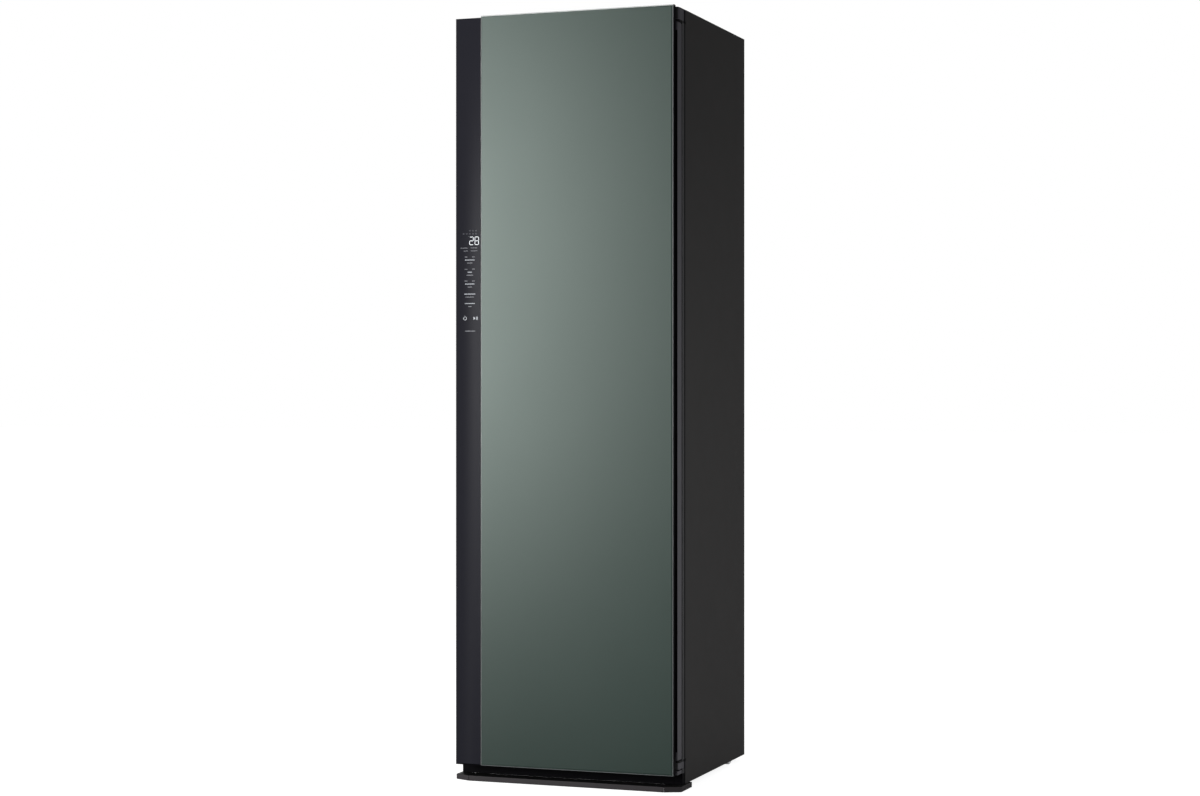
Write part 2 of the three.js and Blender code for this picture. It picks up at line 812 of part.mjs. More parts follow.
function innerTub(root) {
  const inside = ([a0, a1], grow, radius) => roundedRect(
    [-halfTub - grow, halfTub + grow],
    [a0 - grow, a1 + grow],
    radius,
  );
  const heights = [tubFloor, tubTop];
  const body = pull(inside(heights, tubWall, tubRadius + tubWall), [back(tubFront), back(tubBack)], 3);
  const hollow = pull(inside(heights, 0, tubRadius), [back(tubFront - overrun), back(tubBack - tubWall)], 3);
  const flange = pull(
    inside(heights, tubFlange, tubRadius + tubFlange),
    [back(tubFront), back(tubFront + tubWall)],
    3,
  );
  const ledges = [-1, 1].map((side) => block(
    span(side * (halfTub + tubWall / 2), side * (halfTub - shelfLedgeReach)),
    [back(shelfFront), back(shelfFront + shelfDepth)],
    [tubFloor + shelfLift - shelfLedgeThickness, tubFloor + shelfLift],
  ));
  const through = (x, depth, width, z) => block(
    x,
    [back(depth - width / 2), back(depth + width / 2)],
    [z - tubWall - overrun, z + tubWall + overrun],
  );
  const play = floorPlay;
  const posts = [-1, 1].map((side) => through(
    [
      postX(side) - postWidth / 2 - hangerTravel - slotEnd,
      postX(side) + postWidth / 2 + hangerTravel + slotEnd,
    ],
    driveDepth,
    postDepth + slotSide * 2,
    tubTop,
  ));
  const tub = cut(
    join(cut(join(body, flange), hollow), ...ledges),
    through([filterX[0] - play, filterX[1] + play], filterPlace, filterDepth + play * 2, tubFloor),
    through([aromaX[0] - play, aromaX[1] + play], filterPlace, filterDepth + play * 2, tubFloor),
    through([-outletWidth / 2, outletWidth / 2], outletPlace, outletDepth, tubFloor),
    through([-lampWidth / 2, lampWidth / 2], lampPlace, lampDepth, tubTop),
    ...posts,
    rod(
      nozzleRadius + pinClearance,
      [nozzleX, back(tubBack - tubWall - overrun), tubFloor + nozzleLift],
      [nozzleX, back(tubBack + overrun), tubFloor + nozzleLift],
      16,
    ),
  );
  piece(root, "inner_tub", tub, finishes.tub);
}

// Things set into the compartment: outlet grille, lamp lens and steam nozzle
function tubFittings(root) {
  const grilleX = [-outletWidth / 2 - outletRim, outletWidth / 2 + outletRim];
  const rimHalf = outletDepth / 2 + outletRim;
  const rimY = [back(outletPlace - rimHalf), back(outletPlace + rimHalf)];
  const slotHalf = (outletDepth - outletRim) / 2;
  const slotY = [back(outletPlace - slotHalf), back(outletPlace + slotHalf)];
  const low = tubFloor + seat;
  const pitch = outletWidth / outletSlots;
  const slots = Array.from({ length: outletSlots }, (_, i) => block(
    [-outletWidth / 2 + pitch * (i + outletBarShare), -outletWidth / 2 + pitch * (i + 1 - outletBarShare)],
    slotY,
    [low - overrun, low + overrun * 2],
  ));
  const rim = raise(roundedRect(grilleX, rimY, outletRim), [low, low + outletRimHeight], 3);
  piece(root, "outlet_grille", cut(rim, ...slots), finishes.liner);

  const lens = join(
    block(
      [-lampWidth / 2 + seat, lampWidth / 2 - seat],
      [back(lampPlace - lampDepth / 2 + seat), back(lampPlace + lampDepth / 2 - seat)],
      [tubTop - lampDrop, tubTop + tubWall],
    ),
    block(
      [-lampWidth / 2 - lampRim, lampWidth / 2 + lampRim],
      [back(lampPlace - lampDepth / 2 - lampRim), back(lampPlace + lampDepth / 2 + lampRim)],
      [tubTop - lampDrop, tubTop - seat],
    ),
  );
  piece(root, "lamp_lens", lens, finishes.smoke);

  const wall = tubBack - tubWall;
  const nozzle = piece(root, "steam_nozzle", turned([
    [nozzleBore, -tubWall - nozzleTail],
    [nozzleRadius, -tubWall - nozzleTail],
    [nozzleRadius, seat],
    [nozzleFlange, seat],
    [nozzleFlange, seat + outletRimHeight],
    [nozzleRadius, nozzleReach],
    [nozzleBore, nozzleReach],
    [nozzleBore, -tubWall - nozzleTail],
  ], 16), finishes.palePlastic);
  nozzle.rotation.x = Math.PI / 2;
  nozzle.position.set(nozzleX, back(wall), tubFloor + nozzleLift);
}

// The lint filter and the fragrance case lift out of the floor
function floorKits(root) {
  const y = [back(filterPlace - filterDepth / 2), back(filterPlace + filterDepth / 2)];
  const rim = (x) => block(
    [x[0] - filterRim, x[1] + filterRim],
    [y[0] - filterRim, y[1] + filterRim],
    [tubFloor + seat, tubFloor + seat + filterRimHeight],
  );
  const box = (x) => block(x, y, [tubFloor - filterBody, tubFloor + seat + filterRimHeight / 2]);
  const inside = (x, low, high) => block(
    [x[0] + filterWall, x[1] - filterWall],
    [y[0] + filterWall, y[1] - filterWall],
    [low, high],
  );
  const above = tubFloor + filterRimHeight + overrun;
  const pitch = (filterX[1] - filterX[0] - filterWall * 2) / filterSlots;
  const bars = Array.from({ length: filterSlots - 1 }, (_, i) => {
    const middle = filterX[0] + filterWall + pitch * (i + 1);
    const half = pitch * (1 - filterSlotShare) / 4;
    return block([middle - half, middle + half], y, [tubFloor - filterBar, tubFloor + filterRimHeight / 2]);
  });
  const mesh = block(
    [filterX[0] + filterWall / 2, filterX[1] - filterWall / 2],
    [y[0] + filterWall / 2, y[1] - filterWall / 2],
    [tubFloor - filterBody, tubFloor - filterBody + filterWall],
  );
  const filter = join(
    cut(join(rim(filterX), box(filterX)), inside(filterX, tubFloor - filterBody - overrun, above)),
    mesh,
    ...bars,
  );
  piece(root, "lint_filter", filter, finishes.palePlastic);
  const aroma = cut(
    join(rim(aromaX), box(aromaX)),
    inside(aromaX, tubFloor - filterBody + filterWall, tubFloor),
    ...[-1, 0, 1].map((step) => block(
      [aromaX[0] + filterRim, aromaX[1] - filterRim],
      [
        back(filterPlace + step * filterDepth / 4 - filterRimHeight),
        back(filterPlace + step * filterDepth / 4 + filterRimHeight),
      ],
      [tubFloor - overrun, above],
    )),
  );
  piece(root, "fragrance_case", aroma, finishes.palePlastic);
}

// The wire shelf that rests on the side ledges
const shelfFront = 175;
const shelfBackRoom = 64.8;
const shelfWire = 3;
const shelfFrameWire = 4;
const shelfWires = 9;
const shelfPlay = 3;
const shelfDepth = tubBack - shelfBackRoom - shelfFront;

function shelf(root) {
  const z = tubFloor + shelfLift + seat + shelfFrameWire;
  const x = halfTub - shelfPlay - shelfFrameWire;
  const y0 = back(shelfFront + shelfPlay + shelfFrameWire);
  const y1 = back(shelfFront + shelfDepth - shelfPlay - shelfFrameWire);
  const corners = [[-x, y0], [x, y0], [x, y1], [-x, y1]];
  const sides = corners.map((corner, i) => {
    const next = corners[(i + 1) % corners.length];
    return rod(shelfFrameWire, [...corner, z], [...next, z], 6);
  });
  const balls = corners.map(([a, b]) => {
    const ball = new THREE.SphereGeometry(shelfFrameWire, 6, 4);
    ball.translate(a, b, z);
    return solidFrom(ball);
  });
  const pitch = (x * 2) / (shelfWires + 1);
  const wires = Array.from({ length: shelfWires }, (_, i) => {
    const at = -x + pitch * (i + 1);
    return rod(shelfWire, [at, y0, z], [at, y1, z], 6);
  });
  piece(root, "shelf", join(...sides, ...balls, ...wires), finishes.steel);
}

// The bay that the two tanks slide into, under the compartment floor
const bayFront = 95;
const bayDrop = 42;
const bayHeight = 223;
const bayWall = 4;
const bayBackRoom = 269;
const bayMiddle = 10;
const trayWall = 3;
const trayLip = 30;
const ductPlay = 6;
const bayLeft = -halfOpening + seat;
const bayHigh = tubFloor - bayDrop;
const bayLow = bayHigh - bayHeight;
const bayDepth = caseDepth - bayBackRoom - bayFront;
const bayTopZ = tubFloor - tubFlange - tubWall - seat;

function tankBay(root) {
  const tray = [bayLeft, -bayLeft];
  const trayZ = [frameOpeningLow + seat, bayTopZ];
  const narrow = ([low, high], by) => [low + by, high - by];
  const face = back(bayFront);
  const rear = back(bayFront + bayDepth);
  const outer = join(
    block(tray, [back(bayFront - trayLip), back(bayFront + trayWall)], trayZ),
    block([tray[0] + bayWall, tray[1] - bayWall], [face, rear], [bayLow - bayWall, bayHigh + bayWall]),
  );
  const pocket = (side) => block(
    span(side * bayMiddle / 2, side * (-tray[0] - bayWall * 2)),
    [face - overrun, rear - bayWall],
    [bayLow, bayHigh],
  );
  const ductX = [filterX[0] - ductPlay, filterX[1] + ductPlay];
  const duct = cut(
    block([ductX[0] - bayWall, ductX[1] + bayWall], [face, rear], [bayHigh, tubFloor - tubWall - seat]),
    block(ductX, [face + bayWall, rear + overrun], [bayHigh + bayWall, tubFloor]),
  );
  const bay = cut(
    join(outer, duct),
    block(narrow(tray, trayWall), [back(bayFront - trayLip) - overrun, face], narrow(trayZ, trayWall)),
    pocket(-1),
    pocket(1),
  );
  piece(root, "tank_bay", bay, finishes.liner);
}

// A water tank with its lid and carrying bail, made about its own front corner
const tankPlay = 2;
const bailRoom = 75;
const tankWall = 2.5;
const tankBackPlay = 6;
const tankRadius = 12;
const lidThickness = 3;
const lidPlug = 6;
const lidPlay = 0.5;
const fillRadius = 18;
const gripWidth = 120;
const gripHeight = 34;
const gripDepth = 20;
const gripDrop = 16;
const bailWidth = 110;
const bailReach = 46;
const bailRadius = 4;
const bailEar = 5;
const bailPivotLift = 8;
const earPlay = 0.5;
const tankHeight = bayHeight - bailRoom;
const tankDepthSize = bayDepth - bayWall - tankBackPlay;

function tank(root, side, title, finish) {
  const group = new THREE.Group();
  root.add(group);
  const width = -bayLeft - bayWall * 2 - bayMiddle / 2 - tankPlay * 2;
  group.position.set(
    side < 0 ? bayLeft + bayWall * 2 + tankPlay : bayMiddle / 2 + tankPlay,
    back(bayFront),
    bayLow + seat,
  );
  const shape = (inset) => roundedRect(
    [inset, width - inset],
    [inset, tankDepthSize - inset],
    tankRadius - inset,
  );
  const gripX = [width / 2 - gripWidth / 2, width / 2 + gripWidth / 2];
  const gripZ = [tankHeight - gripDrop - gripHeight, tankHeight - gripDrop];
  const gripBox = (grow) => block(
    [gripX[0] - grow, gripX[1] + grow],
    [0, gripDepth + grow],
    [gripZ[0] - grow, gripZ[1] + grow],
  );
  const body = cut(
    join(
      cut(raise(shape(0), [0, tankHeight], 3), raise(shape(tankWall), [tankWall, tankHeight + overrun], 3)),
      gripBox(tankWall),
    ),
    block(gripX, [-overrun, gripDepth], gripZ),
  );
  piece(group, `${title}_tank`, body, finish);

  const lidZ = tankHeight + seat;
  const pivotZ = lidZ + lidThickness + bailPivotLift;
  const pivotY = tankDepthSize / 2 - bailReach / 2;
  const bailHalf = bailWidth / 2;
  const fillY = tankDepthSize - fillRadius * 2;
  const ears = [-1, 1].map((way) => {
    const x = width / 2 + way * (bailHalf + bailRadius + earPlay + bailEar / 2);
    return join(
      block(
        [x - bailEar / 2, x + bailEar / 2],
        [pivotY - bailEar, pivotY + bailEar],
        [lidZ + lidThickness / 2, pivotZ + bailEar],
      ),
      rod(bailRadius / 2, [x, pivotY, pivotZ], [x - way * (bailEar / 2 + bailRadius), pivotY, pivotZ], 8),
    );
  });
  const lid = cut(
    join(
      raise(shape(0), [lidZ, lidZ + lidThickness], 3),
      raise(shape(tankWall + lidPlay), [lidZ - lidPlug, lidZ + lidThickness / 2], 2),
      ...ears,
    ),
    rod(fillRadius, [width / 2, fillY, 0], [width / 2, fillY, tankHeight * 2], 16),
    raise(shape(tankWall + lidPlay + lidThickness), [lidZ - lidPlug - overrun, lidZ], 2),
  );
  piece(group, `${title}_tank_lid`, lid, finishes.liner);

  const eye = (way) => [width / 2 + way * bailHalf, pivotY, pivotZ];
  const far = (way) => [width / 2 + way * bailHalf, pivotY + bailReach, pivotZ];
  const bail = cut(
    join(
      rod(bailRadius, eye(-1), far(-1), 8),
      rod(bailRadius, far(-1), far(1), 8),
      rod(bailRadius, eye(1), far(1), 8),
      ...[-1, 1].map((way) => {
        const knuckle = new THREE.SphereGeometry(bailRadius, 8, 4);
        knuckle.translate(...far(way));
        return solidFrom(knuckle);
      }),
      ...[-1, 1].map((way) => rod(
        bailRadius,
        [eye(way)[0] - way * bailRadius, pivotY, pivotZ],
        [eye(way)[0] + way * bailRadius, pivotY, pivotZ],
        8,
      )),
    ),
    ...[-1, 1].map((way) => rod(
      bailRadius / 2 + pinClearance,
      [eye(way)[0], pivotY, pivotZ],
      [eye(way)[0] + way * bailRadius * 2, pivotY, pivotZ],
      8,
    )),
  );
  piece(group, `${title}_tank_handle`, bail, finishes.palePlastic);
}

// The moving hanger: a motor turns a crank whose pin slides a yoke from side to side
const railLift = 54;
const railHeight = 22;
const railDepth = 16;
const railOver = 50;
const railNotches = 5;
const railNotchRadius = 6;
const railSocket = 10;
const yokeThickness = 7;
const yokeOver = 25;
const yokeDepth = 74;
const runnerHeight = 10;
const runnerDepth = 12;
const crankGap = 3;
const crankDisc = 58;
const crankThickness = 11;
const crankHub = 9;
const shaftRadius = 5;
const beltThickness = 2.5;
const beltWidth = 7;
const beltGap = 0.4;
const motorDistance = 130;
const motorPulley = 14.5;
const motorRadius = 34;
const motorHeight = 46;
const chassisThickness = 3;
const chassisGap = 4;
const chassisSideRoom = 50;
const chassisDepth = 176;
const chassisLeg = 12;
const legInset = 8;
const yokeWidth = postSpacing + yokeOver * 2;
const chassisWidth = tubWidth - chassisSideRoom * 2;
const yokeLow = tubTop + tubWall + runnerHeight + seat;
const yokeHigh = yokeLow + yokeThickness;
const crankLow = yokeHigh + crankGap;
const crankHigh = crankLow + crankThickness;
const chassisLow = crankHigh + chassisGap;
const railTop = tubTop - railLift;
const driveY = back(driveDepth);

function hangerDrive(root) {
  const postHalf = postWidth / 2;
  const yokeHalf = yokeWidth / 2;
  const slotHalf = crankPinRadius + slotPlay;
  const yoke = cut(
    join(
      raise(
        roundedRect([-yokeHalf, yokeHalf], [driveY - yokeDepth / 2, driveY + yokeDepth / 2], crankPinRadius),
        [yokeLow, yokeHigh],
        3,
      ),
      ...[-1, 1].map((side) => block(
        [postX(side) - postHalf, postX(side) + postHalf],
        [driveY - postDepth / 2, driveY + postDepth / 2],
        [railTop - railSocket + seat, yokeHigh],
      )),
    ),
    raise(
      roundedRect(
        [-slotHalf, slotHalf],
        [driveY - crankRadius - slotHalf, driveY + crankRadius + slotHalf],
        slotHalf - seat,
      ),
      [yokeLow - overrun, yokeHigh + overrun],
      4,
    ),
    ...[-1, 1].map((side) => raise(
      roundedRect(
        span(side * (slotHalf + crankRadius * 2), side * (postSpacing / 2 - postWidth)),
        [driveY - yokeDepth / 4, driveY + yokeDepth / 4],
        crankPinRadius,
      ),
      [yokeLow - overrun, yokeHigh + overrun],
      2,
    )),
  );
  piece(root, "hanger_yoke", yoke, finishes.palePlastic);

  const railHalf = postSpacing / 2 + railOver;
  const pitch = (postSpacing - postWidth * 2) / railNotches;
  const section = roundedRect(
    [driveY - railDepth / 2, driveY + railDepth / 2],
    [railTop - railHeight, railTop],
    railDepth / 4,
  );
  const rail = cut(
    across(section, [-railHalf, railHalf], 2),
    ...[-1, 1].map((side) => block(
      [postX(side) - postHalf - seat, postX(side) + postHalf + seat],
      [driveY - postDepth / 2 - seat, driveY + postDepth / 2 + seat],
      [railTop - railSocket, railTop + overrun],
    )),
    ...Array.from({ length: railNotches }, (_, i) => {
      const x = pitch * (i - (railNotches - 1) / 2);
      return rod(railNotchRadius, [x, driveY - railDepth, railTop], [x, driveY + railDepth, railTop], 10);
    }),
  );
  piece(root, "hanger_rail", rail, finishes.aluminium);

  const wheel = (x, radius) => {
    const groove = radius - beltThickness;
    const rim = (crankThickness - beltWidth) / 2 - beltGap;
    return turned([
      [shaftRadius + pinClearance, crankLow],
      [radius, crankLow],
      [radius, crankLow + rim],
      [groove, crankLow + rim],
      [groove, crankHigh - rim],
      [radius, crankHigh - rim],
      [radius, crankHigh],
      [shaftRadius + pinClearance, crankHigh],
      [shaftRadius + pinClearance, crankLow],
    ], radius > crankDisc / 2 ? 28 : 16, [x, driveY, 0]);
  };
  const pinAt = (z) => [0, driveY - crankRadius, z];
  const crank = join(
    wheel(0, crankDisc),
    rod(crankPinRadius, pinAt(yokeLow + seat), pinAt(crankHigh - seat), 16),
  );
  piece(root, "crank_pulley", crank, finishes.palePlastic);
  piece(root, "motor_pulley", wheel(motorDistance, motorPulley), finishes.steel);

  const loop = (grow) => {
    const big = crankDisc - beltThickness + beltGap + grow;
    const small = motorPulley - beltThickness + beltGap + grow;
    const lean = Math.acos((big - small) / motorDistance);
    const shape = new THREE.Shape();
    shape.absarc(0, driveY, big, lean, Math.PI * 2 - lean, false);
    shape.absarc(motorDistance, driveY, small, -lean, lean, false);
    return shape;
  };
  const beltLow = crankLow + (crankThickness - beltWidth) / 2;
  const belt = cut(
    raise(loop(beltThickness), [beltLow, beltLow + beltWidth], 11),
    raise(loop(0), [beltLow - overrun, beltLow + beltWidth + overrun], 11),
  );
  piece(root, "drive_belt", belt, finishes.seal);

  const plateTop = chassisLow + chassisThickness;
  const half = chassisWidth / 2;
  const halfDepth = chassisDepth / 2;
  const legs = [-1, 1].flatMap((a) => [-1, 1].map((b) => {
    const x = a * (half - legInset);
    const y = driveY + b * (halfDepth - legInset);
    return block(
      [x - chassisLeg / 2, x + chassisLeg / 2],
      [y - chassisLeg / 2, y + chassisLeg / 2],
      [tubTop + tubWall + seat, chassisLow + chassisThickness / 2],
    );
  }));
  const runnerZ = [tubTop + tubWall + seat, yokeLow - seat];
  const runners = [-1, 1].flatMap((b) => {
    const y = driveY + b * (yokeDepth / 2 - runnerDepth / 2);
    const outerY = driveY + b * (halfDepth - legInset);
    return [
      block([-half + legInset, half - legInset], [y - runnerDepth / 2, y + runnerDepth / 2], runnerZ),
      ...[-1, 1].map((a) => block(
        [a * (half - legInset) - chassisLeg / 2, a * (half - legInset) + chassisLeg / 2],
        span(y, outerY),
        runnerZ,
      )),
    ];
  });
  const chassis = join(
    block([-half, half], [driveY - halfDepth, driveY + halfDepth], [chassisLow, plateTop]),
    ...legs,
    ...runners,
    rod(shaftRadius, [0, driveY, crankLow], [0, driveY, plateTop], 16),
    rod(crankHub, [0, driveY, crankHigh + seat], [0, driveY, plateTop], 16),
  );
  const motorAt = (z) => [motorDistance, driveY, z];
  const motorHole = rod(crankHub + seat, motorAt(chassisLow - overrun), motorAt(plateTop + overrun), 16);
  piece(root, "drive_chassis", cut(chassis, motorHole), finishes.zinc);

  const motorLow = plateTop + seat;
  const motor = join(
    rod(motorRadius, motorAt(motorLow), motorAt(motorLow + motorHeight), 24),
    rod(crankHub, motorAt(crankHigh + seat), motorAt(motorLow + motorHeight / 2), 16),
    rod(shaftRadius, motorAt(crankLow), motorAt(motorLow + motorHeight / 2), 16),
  );
  piece(root, "drive_motor", motor, finishes.steel);
}

// The trouser press and the trouser clips on the inside of the door
const pressSideRoom = 115;
const pressHingeRoom = 55;
const pressLift = 180;
const pressHeadroom = 250;
const pressBackThickness = 5;
const pressGap = 6;
const pressThickness = 9;
const pressBulge = 5;
const pressRadius = 12;
const hingeBarrel = 5.5;
const hingePin = 2.5;
const barrelLength = 46;
const barrelOffset = 11;
const barrelPlay = 0.5;
const magnetSize = 14;
const pressGrip = 14;
const pressGripHeight = 120;
const clipBarInset = 40;
const clipBarHeight = 24;
const clipBarThickness = 9;
const clipGap = 24;
const clipWidthShare = 0.224;
const clipEnd = 22;
const clipHeight = 50;
const clipThickness = 4;
const clipPin = 2.5;
const clipBarrel = 4;
const clipFlare = 10;
const clipLug = 4;
const clipStand = 6;

const pressLeft = pressSideRoom - halfTub;
const pressRight = halfTub - pressHingeRoom;
const pressLow = tubFloor + pressLift;
const pressHeight = tubTop - pressHeadroom - pressLow;
const clipBarWidth = pressRight - pressLeft - clipBarInset * 2;
const clipWidth = clipBarWidth * clipWidthShare;
const clipSpacing = clipBarWidth - clipWidth - clipEnd * 2;
const pressMiddle = pressLow + pressHeight / 2;
const pressBackFront = plateauDepth + seat;
const pressBackRear = pressBackFront + pressBackThickness;
const pressFront = pressBackRear + pressGap;
const pressAxisX = pressRight + barrelOffset;
const pressAxisDepth = pressFront + hingeBarrel / 2;
const barrelCentres = [pressLow + pressHeight / 6, pressLow + pressHeight * 5 / 6];

function trouserPress(door) {
  const lug = (z0, z1, from, to) => join(
    rod(hingeBarrel, [pressAxisX, back(pressAxisDepth), z0], [pressAxisX, back(pressAxisDepth), z1], 12),
    block([from, to], [back(pressAxisDepth - hingeBarrel), back(pressAxisDepth)], [z0, z1]),
  );
  const pinHole = rod(
    hingePin + pinClearance,
    [pressAxisX, back(pressAxisDepth), pressLow - overrun],
    [pressAxisX, back(pressAxisDepth), pressLow + pressHeight + overrun],
    12,
  );
  const backing = join(
    pull(
      roundedRect([pressLeft, pressRight], [pressLow, pressLow + pressHeight], pressRadius),
      [back(pressBackFront), back(pressBackRear)],
      4,
    ),
    ...barrelCentres.flatMap((centre) => [-1, 1].map((way) => {
      const [z0, z1] = span(
        centre + way * (barrelLength / 2 + barrelPlay),
        centre + way * (barrelLength + barrelLength / 2),
      );
      return join(
        rod(hingeBarrel, [pressAxisX, back(pressAxisDepth), z0], [pressAxisX, back(pressAxisDepth), z1], 12),
        block(
          [pressRight - barrelOffset, pressAxisX + hingeBarrel],
          [back(pressBackFront), back(pressBackRear)],
          [z0, z1],
        ),
        block(
          [pressAxisX - hingeBarrel, pressAxisX + hingeBarrel],
          [back(pressBackFront), back(pressAxisDepth)],
          [z0, z1],
        ),
      );
    })),
    block(
      [pressLeft, pressLeft + magnetSize],
      [back(pressBackFront), back(pressFront - seat)],
      [pressMiddle - magnetSize * 2, pressMiddle + magnetSize * 2],
    ),
    rod(
      hingePin,
      [pressAxisX, back(pressAxisDepth), barrelCentres[0] - barrelLength],
      [pressAxisX, back(pressAxisDepth), barrelCentres[1] + barrelLength],
      8,
    ),
  );
  piece(door, "press_backing", backing, finishes.felt);

  const plateRight = pressRight - seat;
  const bulge = new THREE.Shape();
  bulge.moveTo(pressLeft, back(pressFront));
  bulge.lineTo(plateRight, back(pressFront));
  bulge.lineTo(plateRight, back(pressFront + pressThickness));
  bulge.quadraticCurveTo(
    (pressLeft + plateRight) / 2,
    back(pressFront + pressThickness + pressBulge * 2),
    pressLeft,
    back(pressFront + pressThickness),
  );
  const plate = cut(
    join(
      raise(bulge, [pressLow, pressLow + pressHeight], 10),
      ...barrelCentres.map((centre) => join(
        lug(centre - barrelLength / 2, centre + barrelLength / 2, plateRight - barrelOffset, pressAxisX),
        block(
          [plateRight - barrelOffset, pressAxisX],
          [back(pressAxisDepth - hingeBarrel / 2), back(pressAxisDepth + hingeBarrel)],
          [centre - barrelLength / 2, centre + barrelLength / 2],
        ),
      )),
      block(
        [pressLeft - pressGrip, pressLeft + pressGrip],
        [back(pressFront + pressThickness / 2), back(pressFront + pressThickness)],
        [pressMiddle - pressGripHeight / 2, pressMiddle + pressGripHeight / 2],
      ),
    ),
    pinHole,
  );
  piece(door, "press_plate", plate, finishes.liner);

  const barX = (pressLeft + pressRight) / 2;
  const barZ = pressLow + pressHeight + clipGap + clipBarHeight / 2;
  const barRear = pressBackFront + clipBarThickness;
  const clipDepth = barRear + clipStand;
  const lugs = [-1, 1].flatMap((side) => [-1, 1].map((way) => {
    const x = barX + side * clipSpacing / 2 + way * (clipWidth / 2 + earPlay + clipLug / 2);
    return join(
      block(
        [x - clipLug / 2, x + clipLug / 2],
        [back(barRear - clipLug), back(clipDepth + clipPin * 2)],
        [barZ - clipPin * 2, barZ + clipPin * 2],
      ),
      rod(
        clipPin,
        [x, back(clipDepth), barZ],
        [x - way * (clipLug * 2), back(clipDepth), barZ],
        8,
      ),
    );
  }));
  const bar = join(
    pull(
      roundedRect(
        [barX - clipBarWidth / 2, barX + clipBarWidth / 2],
        [barZ - clipBarHeight / 2, barZ + clipBarHeight / 2],
        clipBarHeight / 3,
      ),
      [back(pressBackFront), back(barRear)],
      3,
    ),
    ...lugs,
  );
  piece(door, "trouser_clip_bar", bar, finishes.liner);

  for (const side of [-1, 1]) {
    const x = barX + side * clipSpacing / 2;
    const half = clipWidth / 2;
    const low = barZ - clipBarHeight / 3;
    const high = barZ + clipHeight / 2;
    const profile = outline([
      [back(barRear + seat), low],
      [back(barRear + seat + clipThickness), low],
      [back(clipDepth + clipThickness), barZ],
      [back(clipDepth + clipFlare), high],
      [back(clipDepth + clipFlare - clipThickness), high],
      [back(clipDepth - clipThickness / 2), barZ + clipThickness / 2],
    ]);
    const lever = cut(
      join(
        across(profile, [x - half, x + half]),
        rod(clipBarrel, [x - half, back(clipDepth), barZ], [x + half, back(clipDepth), barZ], 12),
      ),
      rod(
        clipPin + pinClearance,
        [x - half - overrun, back(clipDepth), barZ],
        [x + half + overrun, back(clipDepth), barZ],
        12,
      ),
    );
    piece(door, side < 0 ? "trouser_clip_left" : "trouser_clip_right", lever, finishes.palePlastic);
  }
}

// The machine room: heat pump, blower, steam generator and electronics
const exchangerSideRoom = 50;
const exchangerBackRoom = 278;
const exchangerHeadroom = 11.5;
const exchangerPlace = 118;
const finCount = 16;
const finShare = 0.16;
const finBack = 12;
const compressorSide = 135;
const compressorSetback = 156;
const compressorRadius = 52;
const compressorHeight = 165;
const compressorDome = 22;
const domeShares = [0.85, 0.5];
const compressorFoot = 68;
const compressorFootHeight = 8;
const scrollRadius = 92;
const scrollShift = 6;
const scrollWall = 2.5;
const scrollThickness = 90;
const scrollDrop = 220;
const inletRadius = 58;
const throatWidth = 150;
const blowerShaft = 4;
const blowerMotorRadius = 36;
const blowerMotorLength = 34;
const impellerRadius = 80;
const impellerInner = 62;
const impellerGap = 8;
const impellerBlades = 12;
const impellerBlade = 2;
const impellerPlate = 2;
const impellerHub = 12;
const generatorWidth = 92;
const generatorDepthSize = 74;
const generatorHeight = 150;
const generatorSetback = 84;
const generatorRadius = 14;
const spoutRadius = 8;
const spoutHeight = 14;
const hoseRadius = 6;
const hoseBend = 36;
const boxWidth = 84;
const boxDepthSize = 130;
const boxHeight = 230;
const boxGap = 8;
const boxInset = 8;
const boxRib = 4;
const machineFloor = panFloor + sheet + seat;
const exchangerWidth = tubWidth - exchangerSideRoom * 2;
const exchangerDepthSize = caseDepth - exchangerBackRoom - exchangerPlace;
const exchangerHeight = bayLow - bayWall - exchangerHeadroom - machineFloor;
const compressorX = halfCase - compressorSide;
const compressorDepth = caseDepth - compressorSetback;
const scrollFront = outletPlace - scrollThickness / 2;
const blowerZ = tubFloor - scrollDrop + scrollRadius;
const blowerBack = scrollFront + scrollThickness;
const generatorPlace = caseDepth - generatorSetback;
const boxPlace = bayFront + bayDepth + boxGap;

function heatExchanger(root) {
  const half = exchangerWidth / 2;
  const front = back(exchangerPlace);
  const rear = back(exchangerPlace + exchangerDepthSize);
  const webFront = back(exchangerPlace + exchangerDepthSize - finBack);
  const pitch = exchangerWidth / finCount;
  const comb = [[-half, rear]];
  for (let i = 0; i < finCount; i += 1) {
    const x = -half + pitch * i;
    comb.push([x, front], [x + pitch * finShare, front]);
    if (i < finCount - 1) comb.push([x + pitch * finShare, webFront], [x + pitch, webFront]);
  }
  comb.push([half - pitch * (1 - finShare), rear]);
  const stack = raise(outline(comb), [machineFloor, machineFloor + exchangerHeight]);
  piece(root, "heat_exchanger", stack, finishes.aluminium);
}

function compressor(root) {
  const can = piece(root, "compressor", turned([
    [0, 0],
    [compressorFoot, 0],
    [compressorFoot, compressorFootHeight],
    [compressorRadius, compressorFootHeight],
    [compressorRadius, compressorHeight - compressorDome],
    [compressorRadius * domeShares[0], compressorHeight - compressorDome / 3],
    [compressorRadius * domeShares[1], compressorHeight],
    [0, compressorHeight],
  ], 24), finishes.blackTrim);
  can.position.set(compressorX, back(compressorDepth), machineFloor);
}

